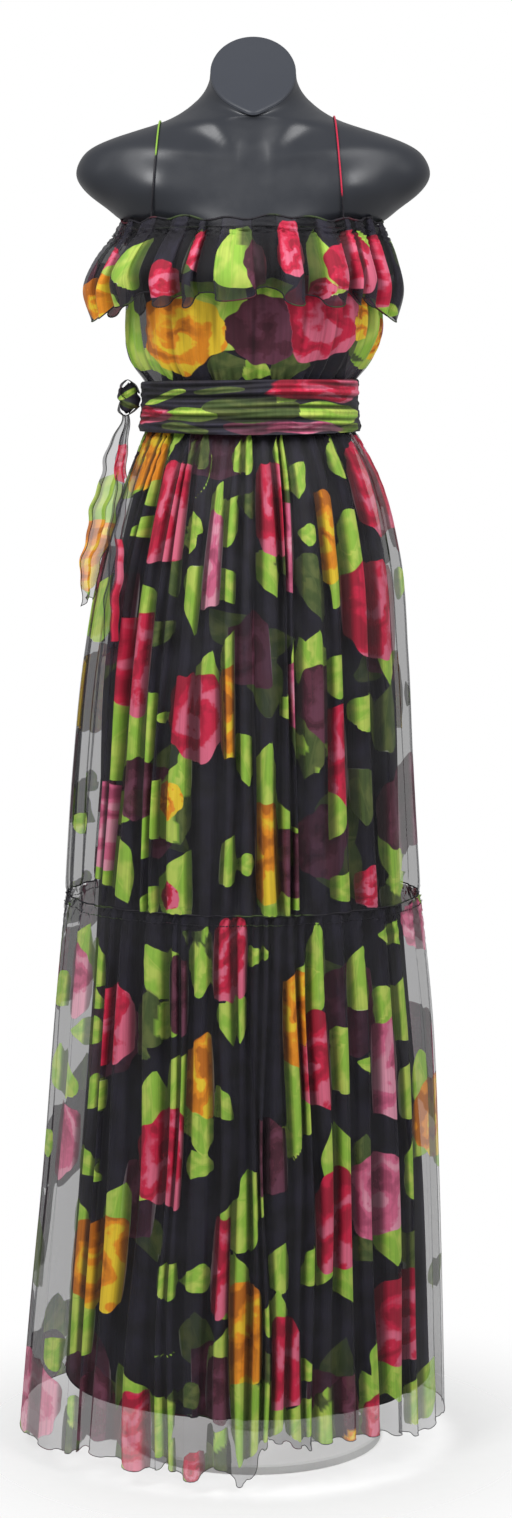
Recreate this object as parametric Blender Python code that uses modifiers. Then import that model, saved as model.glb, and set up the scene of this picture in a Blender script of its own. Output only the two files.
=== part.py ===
"""Evening gown on a limbless dress form. Metres, +Z up, the gown faces -Y.

The origin is the centre of the underside of the stand's base. Left and right are a
viewer's, who stands in front of the gown and looks along +Y. Every cloth piece is a
thin wall: a flat grid wrapped round the figure, then thickened inwards.
"""

import math

import bmesh
import bpy
import numpy as np

# Heights above the floor.
HEM = 0.016
TIER_SEAM = 0.602
NECKLINE = 1.306
TORSO_BOTTOM = 0.860

# Cloth.
SEAM_GAP = 0.0004
CHIFFON = 0.0012
LINING = 0.0012
SASH_CLOTH = 0.0015
STRAP_DIAMETER = 0.0028

# Each row is a level of the gown or the figure: height, then how far the outline reaches
# to the left, to the right, to the front and to the back of the middle line.
SKIRT_LEVELS = (
    (1.100, 0.1145, 0.1090, 0.0945, 0.0925),
    (1.050, 0.134, 0.135, 0.121, 0.120),
    (0.970, 0.160, 0.157, 0.146, 0.146),
    (0.860, 0.181, 0.167, 0.160, 0.162),
    (0.740, 0.194, 0.173, 0.168, 0.172),
    (0.602, 0.204, 0.182, 0.176, 0.182),
    (0.470, 0.216, 0.195, 0.187, 0.192),
    (0.300, 0.230, 0.203, 0.199, 0.203),
    (0.140, 0.246, 0.208, 0.209, 0.211),
    (0.016, 0.257, 0.211, 0.215, 0.216),
)
UNDERSKIRT_LEVELS = (
    (1.0995, 0.108, 0.101, 0.088, 0.086),
    (0.970, 0.142, 0.139, 0.128, 0.128),
    (0.860, 0.158, 0.150, 0.142, 0.144),
    (0.602, 0.168, 0.160, 0.156, 0.160),
    (0.300, 0.190, 0.185, 0.177, 0.182),
    (0.075, 0.208, 0.194, 0.190, 0.194),
)
BODICE_LEVELS = (
    (1.306, 0.133, 0.124, 0.115, 0.098),
    (1.255, 0.135, 0.133, 0.131, 0.108),
    (1.205, 0.134, 0.137, 0.117, 0.108),
    (1.166, 0.126, 0.120, 0.103, 0.101),
    (1.150, 0.1155, 0.1085, 0.0965, 0.0935),
    (1.1004, 0.1145, 0.1075, 0.0945, 0.0925),
)
RUFFLE_LEVELS = (
    (1.312, 0.140, 0.138, 0.120, 0.103),
    (1.300, 0.149, 0.145, 0.127, 0.110),
    (1.280, 0.166, 0.152, 0.142, 0.125),
    (1.256, 0.178, 0.158, 0.153, 0.134),
    (1.234, 0.171, 0.152, 0.152, 0.133),
)
SASH_LEVELS = (
    (1.149, 0.118, 0.111, 0.099, 0.097),
    (1.120, 0.118, 0.111, 0.099, 0.097),
    (1.097, 0.121, 0.114, 0.102, 0.100),
)
TORSO_LEVELS = (
    (0.860, 0.116, 0.098, 0.100),
    (0.930, 0.128, 0.106, 0.112),
    (1.000, 0.121, 0.096, 0.102),
    (1.060, 0.104, 0.085, 0.087),
    (1.115, 0.094, 0.080, 0.078),
    (1.160, 0.098, 0.084, 0.080),
    (1.205, 0.107, 0.098, 0.084),
    (1.250, 0.117, 0.115, 0.088),
    (1.275, 0.120, 0.111, 0.089),
    (1.308, 0.1195, 0.098, 0.088),
    (1.317, 0.138, 0.094, 0.089),
    (1.328, 0.151, 0.089, 0.088),
    (1.346, 0.175, 0.083, 0.086),
    (1.362, 0.186, 0.078, 0.083),
    (1.378, 0.183, 0.072, 0.079),
    (1.394, 0.168, 0.066, 0.074),
    (1.406, 0.138, 0.060, 0.068),
    (1.417, 0.102, 0.056, 0.064),
)
# The neck leans: height of its middle, half width, front, back, and rise for each metre back.
NECK_LEVELS = (
    (1.431, 0.073, 0.0560, 0.060, 0.18),
    (1.446, 0.054, 0.0545, 0.056, 0.42),
    (1.458, 0.047, 0.0535, 0.053, 0.62),
    (1.4695, 0.045, 0.0530, 0.051, 0.81),
)
# The shoulders' levels are squarer than an ellipse: heights, and the power of their outline.
SQUARE_HEIGHTS = (1.308, 1.346, 1.394, 1.431)
SQUARE_POWERS = (2.0, 2.7, 2.7, 2.0)
NECK_CAP_THICKNESS = 0.004
TORSO_SEGMENTS = 36
CAP_INSET = 0.002

# Folds: how many each half of a tier has, and how deep they are at its top and lower down.
UPPER_FOLDS = 11
LOWER_FOLDS = 13
RUFFLE_FOLDS = 9
PLAIN_COLUMNS = 20
COLUMNS_PER_FOLD = 4
GATHER_DEPTH = 0.003
SKIRT_FOLD_DEPTH = 0.012
RUFFLE_FOLD_DEPTH = 0.013
FOLD_RUN_IN = 0.12
SASH_PLEATS = 3
SASH_PLEAT_DEPTH = 0.002

# The hem hangs in lobes: its heights at even steps from one side seam to the other.
FRONT_HEM = (0.020, 0.032, 0.018, 0.030, 0.016, 0.044, 0.054, 0.050, 0.034)
BACK_HEM = (0.034, 0.028, 0.044, 0.030, 0.042, 0.026, 0.036, 0.028, 0.020)
RUFFLE_LOBE = 0.005
RUFFLE_LOBES = 7
RUFFLE_SIDE_DROP = 0.013

# Straps run over the shoulders: their feet lie left and right of the middle line, and they
# lean inwards as they climb.
STRAPS = {"strap_left": -0.106, "strap_right": 0.094}
STRAP_LEAN = 0.075
STRAP_INSET = 0.001
STRAP_LIFT = 0.0048
STRAP_STEPS = 6
STRAP_FOOT = 1.330
SHOULDER = 1.362

# Knot and the two tails of the sash, at the left side.
KNOT_CENTRE = (-0.1315, -0.012, 1.132)
KNOT_SIZE = (0.010, 0.013, 0.016)
TAILS = {
    "sash_tail_wide": (
        ((-0.136, -0.014, 1.1145), 0.009),
        ((-0.147, -0.026, 1.068), 0.014),
        ((-0.160, -0.033, 1.010), 0.015),
        ((-0.171, -0.035, 0.965), 0.011),
        ((-0.177, -0.035, 0.918), 0.006),
    ),
    "sash_tail_narrow": (
        ((-0.134, -0.033, 1.1145), 0.007),
        ((-0.138, -0.052, 1.060), 0.008),
        ((-0.143, -0.072, 1.000), 0.008),
        ((-0.146, -0.097, 0.930), 0.008),
        ((-0.150, -0.103, 0.870), 0.007),
    ),
}
TAIL_COLUMNS = 3
TAIL_ROWS = 10
TAIL_FOLD = 0.003

# Stand.
BASE_RADIUS = 0.140
BASE_THICKNESS = 0.010
HUB_RADIUS = 0.026
HUB_HEIGHT = 0.040
POLE_RADIUS = 0.0125
FLANGE_RADIUS = 0.045
FLANGE_THICKNESS = 0.012
PART_GAP = 0.0003
EDGE = 0.002


def start_empty():
    """Remove what the scene holds and add the collection that the parts go in."""
    for old in list(bpy.data.objects):
        bpy.data.objects.remove(old, do_unlink=True)
    collection = bpy.data.collections.new("evening_gown")
    bpy.context.scene.collection.children.link(collection)
    return collection


def material(name, colour, roughness, metallic=0.0):
    """A plain Principled material."""
    made = bpy.data.materials.new(name)
    made.use_nodes = True
    shader = made.node_tree.nodes["Principled BSDF"]
    shader.inputs["Base Color"].default_value = (*colour, 1.0)
    shader.inputs["Roughness"].default_value = roughness
    shader.inputs["Metallic"].default_value = metallic
    return made


def add_part(collection, name, mesh, look):
    """Name a mesh, give it its material and shade it smooth."""
    mesh.name = name
    mesh.materials.clear()
    mesh.materials.append(look)
    mesh.shade_smooth()
    part = bpy.data.objects.new(name, mesh)
    collection.objects.link(part)
    return part


def level_at(levels, height):
    """The sizes of a table of levels at any height between its rows."""
    table = np.array(sorted(levels))
    return [float(np.interp(height, table[:, 0], column)) for column in table[:, 1:].T]


def round_figure(sizes, angle, lift=0.0):
    """A place on the outline of one level; 0 is the right side and a quarter turn the front."""
    left, right, front, back = sizes
    width = right if math.cos(angle) > 0 else left
    depth = front if math.sin(angle) > 0 else back
    normal = np.array([math.cos(angle) / width, -math.sin(angle) / depth])
    normal = normal / np.linalg.norm(normal)
    place = np.array([width * math.cos(angle), -depth * math.sin(angle)])
    return place + normal * lift


def half_turn(across, front):
    """The angle round the figure, from one side seam (0) to the other (1)."""
    if front:
        return math.pi * (1.0 - across)
    return -math.pi * across


def at_seam_side(place, front):
    """Draw a half back from the side seams by half the gap."""
    return place[0], place[1] + (-SEAM_GAP / 2 if front else SEAM_GAP / 2)


def fold_wave(across, folds):
    """Folds from 0 at a ridge to -1 in a trough, flat for one column at each side seam."""
    columns = COLUMNS_PER_FOLD * folds + 2
    inner = (across * columns - 1.0) / (columns - 2.0)
    inner = min(max(inner, 0.0), 1.0)
    return 0.5 * (math.cos(2.0 * math.pi * folds * inner) - 1.0)


def hem_height(across, front):
    """The height of the hem's edge."""
    lobes = FRONT_HEM if front else BACK_HEM
    return float(np.interp(across, np.linspace(0.0, 1.0, len(lobes)), lobes))


def wrapped_wall(collection, name, columns, rows, point_at, thickness, look):
    """A grid wrapped onto point_at(across, down) and thickened inwards."""
    mesh = bpy.data.meshes.new(name)
    grid = bmesh.new()
    bmesh.ops.create_grid(grid, x_segments=columns, y_segments=rows, size=0.5)
    for vert in grid.verts:
        vert.co = point_at(vert.co.x + 0.5, 0.5 - vert.co.y)
    grid.to_mesh(mesh)
    grid.free()
    part = add_part(collection, name, mesh, look)
    wall = part.modifiers.new("wall", "SOLIDIFY")
    wall.thickness = thickness
    wall.offset = -1.0
    return part


def skirt_tier(collection, name, front, folds, heights, look):
    """One half of a gathered tier, between rows of heights from its top to its foot."""
    top = heights[0]

    def point_at(across, down):
        angle = half_turn(across, front)
        height = float(np.interp(down * (len(heights) - 1), range(len(heights)), heights))
        if height == HEM:
            height = hem_height(across, front)
        run_in = min((top - height) / FOLD_RUN_IN, 1.0)
        depth = GATHER_DEPTH + (SKIRT_FOLD_DEPTH - GATHER_DEPTH) * run_in
        lift = depth * fold_wave(across, folds)
        place = round_figure(level_at(SKIRT_LEVELS, height), angle, lift)
        return (*at_seam_side(place, front), height)

    columns = COLUMNS_PER_FOLD * folds + 2
    return wrapped_wall(collection, name, columns, len(heights) - 1, point_at, CHIFFON, look)


def plain_half(collection, name, front, levels, thickness, look):
    """One half of a smooth piece, with a row of points at each level of its table."""
    heights = [level[0] for level in levels]

    def point_at(across, down):
        angle = half_turn(across, front)
        height = float(np.interp(down * (len(heights) - 1), range(len(heights)), heights))
        place = round_figure(level_at(levels, height), angle)
        return (*at_seam_side(place, front), height)

    return wrapped_wall(
        collection, name, PLAIN_COLUMNS, len(heights) - 1, point_at, thickness, look
    )


def ruffle_half(collection, name, front, look):
    """One half of the gathered flounce round the neckline."""
    top = RUFFLE_LEVELS[0][0]
    edge = RUFFLE_LEVELS[-1][0]

    def point_at(across, down):
        angle = half_turn(across, front)
        steps = len(RUFFLE_LEVELS) - 1
        table = [level[0] for level in RUFFLE_LEVELS]
        level = float(np.interp(down * steps, range(steps + 1), table))
        fallen = (top - level) / (top - edge)
        depth = GATHER_DEPTH + (RUFFLE_FOLD_DEPTH - GATHER_DEPTH) * fallen
        lift = depth * fold_wave(across, RUFFLE_FOLDS)
        place = round_figure(level_at(RUFFLE_LEVELS, level), angle, lift)
        drop = RUFFLE_SIDE_DROP * math.cos(angle) ** 4 + RUFFLE_LOBE * math.sin(RUFFLE_LOBES * angle)
        return (*at_seam_side(place, front), level - drop * fallen**2)

    columns = COLUMNS_PER_FOLD * RUFFLE_FOLDS + 2
    return wrapped_wall(collection, name, columns, len(RUFFLE_LEVELS) - 1, point_at, CHIFFON, look)


def sash_half(collection, name, front, look):
    """One half of the wide belt, laid in soft level pleats."""
    top = SASH_LEVELS[0][0]
    foot = SASH_LEVELS[-1][0]

    def point_at(across, down):
        angle = half_turn(across, front)
        height = top + (foot - top) * down
        lift = SASH_PLEAT_DEPTH * 0.5 * (1.0 - math.cos(2.0 * math.pi * SASH_PLEATS * down))
        place = round_figure(level_at(SASH_LEVELS, height), angle, lift)
        return (*at_seam_side(place, front), height)

    return wrapped_wall(collection, name, PLAIN_COLUMNS, 2 * SASH_PLEATS, point_at, SASH_CLOTH, look)


def sash_tail(collection, name, route, look):
    """A hanging end of the sash: a ribbon on a route, with a soft fold along its middle."""
    middles = np.array([middle for middle, _ in route])
    halves = np.array([half for _, half in route])
    along = np.linspace(0.0, 1.0, len(route))

    def point_at(across, down):
        middle = [float(np.interp(down, along, column)) for column in middles.T]
        half = float(np.interp(down, along, halves))
        side = 2.0 * across - 1.0
        return (middle[0] + side * half, middle[1] + TAIL_FOLD * (side * side - 1.0), middle[2])

    return wrapped_wall(collection, name, TAIL_COLUMNS, TAIL_ROWS, point_at, SASH_CLOTH, look)


def knot(collection, look):
    """The sash's knot, a flattened ball."""
    mesh = bpy.data.meshes.new("sash_knot")
    ball = bmesh.new()
    bmesh.ops.create_uvsphere(ball, u_segments=14, v_segments=8, radius=1.0)
    bmesh.ops.scale(ball, vec=KNOT_SIZE, verts=ball.verts)
    ball.to_mesh(mesh)
    ball.free()
    part = add_part(collection, "sash_knot", mesh, look)
    part.location = KNOT_CENTRE
    return part


def strap_reach(offset, height):
    """How far from the middle line a strap is at a height."""
    return abs(offset) - STRAP_LEAN * (height - NECKLINE)


def strap_route(offset):
    """Up the front of the chest, over the shoulder and down the back, just off the form."""
    surface = [*TORSO_LEVELS, NECK_LEVELS[0][:4]]
    shoulder = [(half, height) for height, half, _, _ in surface if height >= SHOULDER]
    excess = [(height, half - strap_reach(offset, height)) for half, height in shoulder]
    crest = float(np.interp(0.0, *np.array([(-over, height) for height, over in excess]).T))
    climb = np.sin(np.linspace(0.0, math.pi / 2, STRAP_STEPS))
    rise = []
    fall = []
    for height in STRAP_FOOT + (crest - STRAP_FOOT) * climb:
        half, front, back = level_at(surface, height)
        reach = strap_reach(offset, height)
        power = float(np.interp(height, SQUARE_HEIGHTS, SQUARE_POWERS))
        share = max(1.0 - (reach / half) ** power, 0.0) ** (1.0 / power)
        rise.append((-front * share, height))
        fall.append((back * share, height))
    section = np.array(rise + fall[-2::-1])
    tangent = np.gradient(section, axis=0)
    tangent /= np.linalg.norm(tangent, axis=1)[:, None]
    lifted = section + STRAP_LIFT * np.column_stack((-tangent[:, 1], tangent[:, 0]))
    _, left, right, front, back = BODICE_LEVELS[0]
    share = math.sqrt(1.0 - (abs(offset) / (left if offset < 0 else right)) ** 2)
    foot = NECKLINE + STRAP_INSET
    sewn_front = (-(front - CHIFFON) * share, foot)
    sewn_back = ((back - CHIFFON) * share, foot)
    route = (sewn_front, *lifted, sewn_back)
    return [(math.copysign(strap_reach(offset, z), offset), y, z) for y, z in route]


def strap(collection, name, offset, look):
    """A narrow rouleau strap."""
    curve = bpy.data.curves.new(name, "CURVE")
    curve.dimensions = "3D"
    curve.bevel_depth = STRAP_DIAMETER / 2
    curve.bevel_resolution = 1
    curve.use_fill_caps = True
    line = curve.splines.new("POLY")
    route = strap_route(offset)
    line.points.add(len(route) - 1)
    for point, place in zip(line.points, route):
        point.co = (*place, 1.0)
    curve.materials.append(look)
    part = bpy.data.objects.new(name, curve)
    collection.objects.link(part)
    return part


def figure_ring(height, half, front, back, rise=0.0):
    """Points round one level of the form; a level with a rise climbs towards the back."""
    power = float(np.interp(height, SQUARE_HEIGHTS, SQUARE_POWERS))
    ring = []
    for step in range(TORSO_SEGMENTS):
        angle = 2.0 * math.pi * step / TORSO_SEGMENTS
        x = half * math.copysign(abs(math.cos(angle)) ** (2.0 / power), math.cos(angle))
        deep = back if math.sin(angle) > 0 else front
        y = deep * math.copysign(abs(math.sin(angle)) ** (2.0 / power), math.sin(angle))
        ring.append((x, y, height + rise * y))
    return ring


def loft(rings):
    """A closed body through rings of the same number of points, from the lowest up."""
    body = bmesh.new()
    loops = [[body.verts.new(place) for place in ring] for ring in rings]
    count = len(loops[0])
    for low, high in zip(loops, loops[1:]):
        for step in range(count):
            after = (step + 1) % count
            body.faces.new((low[step], low[after], high[after], high[step]))
    body.faces.new(loops[0][::-1])
    body.faces.new(loops[-1])
    mesh = bpy.data.meshes.new("loft")
    body.to_mesh(mesh)
    body.free()
    return mesh


def dress_form(collection, look, cap_look):
    """The limbless torso with cut-off shoulders, and the oval cap on its neck."""
    rings = [figure_ring(*level) for level in TORSO_LEVELS]
    rings += [figure_ring(*level) for level in NECK_LEVELS]
    add_part(collection, "form_torso", loft(rings), look)
    height, half, front, back, rise = NECK_LEVELS[-1]
    low = height + PART_GAP * math.hypot(1.0, rise)
    cap = [
        figure_ring(low, half, front, back, rise),
        figure_ring(low + NECK_CAP_THICKNESS / 2, half, front, back, rise),
        figure_ring(low + NECK_CAP_THICKNESS, half - CAP_INSET, front - CAP_INSET, back - CAP_INSET, rise),
    ]
    add_part(collection, "form_neck_cap", loft(cap), cap_look)


def turned(collection, name, profile, look, steps=48):
    """A solid turned from a profile of (radius, height) points, from the axis and back to it."""
    mesh = bpy.data.meshes.new(name)
    outline = bmesh.new()
    verts = [outline.verts.new((radius, 0.0, height)) for radius, height in profile]
    for start, end in zip(verts, verts[1:]):
        outline.edges.new((start, end))
    outline.to_mesh(mesh)
    outline.free()
    part = add_part(collection, name, mesh, look)
    spin = part.modifiers.new("turn", "SCREW")
    spin.steps = steps
    spin.render_steps = steps
    spin.use_merge_vertices = True
    spin.merge_threshold = 0.00001
    spin.use_smooth_shade = False
    return part


def stand(collection, look):
    """Round base with a hub, the pole, and the flange that carries the torso."""
    base = (
        (0.0, HUB_HEIGHT),
        (HUB_RADIUS - EDGE, HUB_HEIGHT),
        (HUB_RADIUS, HUB_HEIGHT - EDGE),
        (HUB_RADIUS, BASE_THICKNESS),
        (BASE_RADIUS - EDGE, BASE_THICKNESS),
        (BASE_RADIUS, BASE_THICKNESS - EDGE),
        (BASE_RADIUS, 0.0),
        (0.0, 0.0),
    )
    turned(collection, "stand_base", base, look, steps=64)
    flange_foot = TORSO_BOTTOM - PART_GAP - FLANGE_THICKNESS
    flange = (
        (0.0, TORSO_BOTTOM - PART_GAP),
        (FLANGE_RADIUS, TORSO_BOTTOM - PART_GAP),
        (FLANGE_RADIUS, flange_foot + EDGE),
        (FLANGE_RADIUS - EDGE, flange_foot),
        (0.0, flange_foot),
    )
    turned(collection, "stand_flange", flange, look)
    low = HUB_HEIGHT + PART_GAP
    high = flange_foot - PART_GAP
    bpy.ops.mesh.primitive_cylinder_add(
        vertices=24, radius=POLE_RADIUS, depth=high - low, location=(0.0, 0.0, (low + high) / 2)
    )
    pole = bpy.context.active_object
    pole.name = "stand_pole"
    pole.data.name = "stand_pole"
    pole.data.materials.append(look)
    for holder in list(pole.users_collection):
        holder.objects.unlink(pole)
    collection.objects.link(pole)


def gown(collection):
    """The gown's cut pieces, each in a front and a back half where it goes all round."""
    chiffon = material("printed_chiffon", (0.05, 0.05, 0.06), 0.75)
    lining = material("black_lining", (0.02, 0.02, 0.022), 0.6)
    belt = material("sash_chiffon", (0.05, 0.05, 0.06), 0.7)
    cord = material("strap_cloth", (0.25, 0.45, 0.08), 0.7)
    upper = [level[0] for level in SKIRT_LEVELS if level[0] >= TIER_SEAM]
    upper[-1] = TIER_SEAM + SEAM_GAP
    lower = [level[0] for level in SKIRT_LEVELS if level[0] <= TIER_SEAM]
    for front, side in ((True, "front"), (False, "back")):
        skirt_tier(collection, f"skirt_upper_{side}", front, UPPER_FOLDS, upper, chiffon)
        skirt_tier(collection, f"skirt_lower_{side}", front, LOWER_FOLDS, lower, chiffon)
        plain_half(collection, f"underskirt_{side}", front, UNDERSKIRT_LEVELS, LINING, lining)
        plain_half(collection, f"bodice_{side}", front, BODICE_LEVELS, CHIFFON, chiffon)
        ruffle_half(collection, f"ruffle_{side}", front, chiffon)
        sash_half(collection, f"sash_{side}", front, belt)
    knot(collection, belt)
    for name, route in TAILS.items():
        sash_tail(collection, name, route, belt)
    for name, offset in STRAPS.items():
        strap(collection, name, offset, cord)


def main():
    collection = start_empty()
    form = material("charcoal_form", (0.045, 0.050, 0.058), 0.35)
    cap = material("charcoal_cap", (0.055, 0.060, 0.068), 0.35)
    white = material("white_stand", (0.85, 0.85, 0.85), 0.3)
    gown(collection)
    dress_form(collection, form, cap)
    stand(collection, white)


main()
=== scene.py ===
"""Looks of an evening gown on a dress form: cloth, print, edges, form, stand and studio.

Metres, +Z up; the gown faces -Y. Left and right are a viewer's who looks along +Y. Each
cloth piece is a fine sheet on the form of its plain solid. Its print is laid out on the
flat cloth first and then folded with it, so a fold's edge cuts a rose as cloth does.
"""

import math

import bpy
import numpy as np
from bpy.props import FloatProperty, FloatVectorProperty, IntProperty, PointerProperty
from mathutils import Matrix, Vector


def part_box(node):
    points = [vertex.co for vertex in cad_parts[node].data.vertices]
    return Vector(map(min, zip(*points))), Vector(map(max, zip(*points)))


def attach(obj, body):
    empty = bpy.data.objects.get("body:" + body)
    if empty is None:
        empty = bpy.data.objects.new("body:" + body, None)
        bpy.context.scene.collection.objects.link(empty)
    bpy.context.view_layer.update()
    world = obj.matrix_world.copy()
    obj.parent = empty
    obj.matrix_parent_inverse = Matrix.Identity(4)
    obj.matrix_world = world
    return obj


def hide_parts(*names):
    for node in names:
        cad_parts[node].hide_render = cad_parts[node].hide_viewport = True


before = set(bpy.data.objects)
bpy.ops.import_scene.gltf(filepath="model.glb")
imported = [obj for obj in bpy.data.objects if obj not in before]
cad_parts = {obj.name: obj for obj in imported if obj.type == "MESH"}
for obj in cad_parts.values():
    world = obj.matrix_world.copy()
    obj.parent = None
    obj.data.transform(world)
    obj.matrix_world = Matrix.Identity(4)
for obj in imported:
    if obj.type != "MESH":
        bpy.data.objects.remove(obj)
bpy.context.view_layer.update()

bl_info = {
    "name": "Evening Gown Looks",
    "version": (1, 0, 0),
    "blender": (4, 5, 0),
    "location": "View3D > Sidebar > Gown",
    "description": "Builds the gown's cloth, its print, the dress form and the studio",
    "category": "Object",
}

ROOT = "root"

# Outlines, level by level: height, then the reach to the left, right, front and back.
SKIRT_LEVELS = (
    (1.100, 0.1145, 0.1090, 0.0945, 0.0925),
    (1.050, 0.134, 0.135, 0.121, 0.120),
    (0.970, 0.160, 0.157, 0.146, 0.146),
    (0.860, 0.181, 0.167, 0.160, 0.162),
    (0.740, 0.194, 0.173, 0.168, 0.172),
    (0.602, 0.204, 0.182, 0.176, 0.182),
    (0.470, 0.216, 0.195, 0.187, 0.192),
    (0.300, 0.230, 0.203, 0.199, 0.203),
    (0.140, 0.246, 0.208, 0.209, 0.211),
    (0.016, 0.257, 0.211, 0.215, 0.216),
)
UNDERSKIRT_LEVELS = (
    (1.0995, 0.108, 0.101, 0.088, 0.086),
    (0.970, 0.142, 0.139, 0.128, 0.128),
    (0.860, 0.158, 0.150, 0.142, 0.144),
    (0.602, 0.168, 0.160, 0.156, 0.160),
    (0.300, 0.190, 0.185, 0.177, 0.182),
    (0.075, 0.208, 0.194, 0.190, 0.194),
)
BODICE_LEVELS = (
    (1.306, 0.133, 0.124, 0.115, 0.098),
    (1.255, 0.135, 0.133, 0.131, 0.108),
    (1.205, 0.134, 0.137, 0.117, 0.108),
    (1.166, 0.126, 0.120, 0.103, 0.101),
    (1.150, 0.1155, 0.1085, 0.0965, 0.0935),
    (1.1004, 0.1145, 0.1075, 0.0945, 0.0925),
)
RUFFLE_LEVELS = (
    (1.312, 0.140, 0.138, 0.120, 0.103),
    (1.300, 0.149, 0.145, 0.127, 0.110),
    (1.280, 0.166, 0.152, 0.142, 0.125),
    (1.256, 0.178, 0.158, 0.153, 0.134),
    (1.234, 0.171, 0.152, 0.152, 0.133),
)
SASH_LEVELS = (
    (1.149, 0.118, 0.111, 0.099, 0.097),
    (1.120, 0.118, 0.111, 0.099, 0.097),
    (1.097, 0.121, 0.114, 0.102, 0.100),
)
TORSO_LEVELS = (
    (0.860, 0.116, 0.116, 0.098, 0.100),
    (0.930, 0.128, 0.128, 0.106, 0.112),
    (1.000, 0.121, 0.121, 0.096, 0.102),
    (1.060, 0.104, 0.104, 0.085, 0.087),
    (1.115, 0.094, 0.094, 0.080, 0.078),
    (1.160, 0.098, 0.098, 0.084, 0.080),
    (1.205, 0.107, 0.107, 0.098, 0.084),
    (1.250, 0.117, 0.117, 0.115, 0.088),
    (1.275, 0.120, 0.120, 0.111, 0.089),
    (1.308, 0.1195, 0.1195, 0.098, 0.088),
    (1.317, 0.138, 0.138, 0.094, 0.089),
    (1.328, 0.151, 0.151, 0.089, 0.088),
    (1.346, 0.175, 0.175, 0.083, 0.086),
    (1.362, 0.186, 0.186, 0.078, 0.083),
    (1.378, 0.183, 0.183, 0.072, 0.079),
    (1.394, 0.168, 0.168, 0.066, 0.074),
    (1.406, 0.138, 0.138, 0.060, 0.068),
    (1.417, 0.102, 0.102, 0.056, 0.064),
    (1.431, 0.073, 0.073, 0.0560, 0.060),
    (1.446, 0.054, 0.054, 0.0545, 0.056),
    (1.458, 0.047, 0.047, 0.0535, 0.053),
    (1.4695, 0.045, 0.045, 0.0530, 0.051),
)
# How much each level of the neck climbs towards the back, and how square the shoulders are.
NECK_RISE = ((1.417, 1.431, 1.446, 1.458, 1.4695), (0.0, 0.18, 0.42, 0.62, 0.81))
# The rows of the form's grid that are smoothed: the shoulders and the neck's root.
EASED_ROWS = slice(55, 140)
CAP_GAP = 0.0003
# The cap's profile: height above its underside, and how far in from the neck's outline.
CAP_PROFILE = ((0.0, 0.0), (0.0022, 0.0), (0.0031, 0.0005), (0.0037, 0.0012), (0.004, 0.0022))
SHOULDER_POWER = ((1.308, 1.346, 1.394, 1.431), (2.0, 2.7, 2.7, 2.0))

# The front hem's places as seen and their heights; the back's at even steps round its half.
FRONT_HEM = (
    (-0.250, -0.215, -0.180, -0.147, -0.097, -0.073, -0.047, -0.010,
     0.010, 0.025, 0.050, 0.105, 0.126, 0.148, 0.176, 0.200),
    (0.018, 0.032, 0.018, 0.032, 0.013, 0.037, 0.013, 0.013,
     0.042, 0.052, 0.060, 0.047, 0.054, 0.053, 0.052, 0.035),
)
BACK_HEM = (0.034, 0.024, 0.044, 0.026, 0.040, 0.022, 0.042, 0.026, 0.036, 0.024, 0.034, 0.020)

# Main creases of the front and back skirt: where across a half (0 to 1),
# top and foot heights, half width across and depth.
CREASES = (
    (0.10, 1.09, 0.30, 0.030, 0.005),
    (0.24, 1.08, 0.62, 0.022, 0.006),
    (0.36, 1.09, 0.20, 0.020, 0.005),
    (0.49, 1.09, 0.05, 0.024, 0.007),
    (0.60, 1.05, 0.40, 0.020, 0.005),
    (0.70, 1.09, 0.10, 0.022, 0.006),
    (0.86, 1.06, 0.25, 0.026, 0.006),
)
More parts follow.
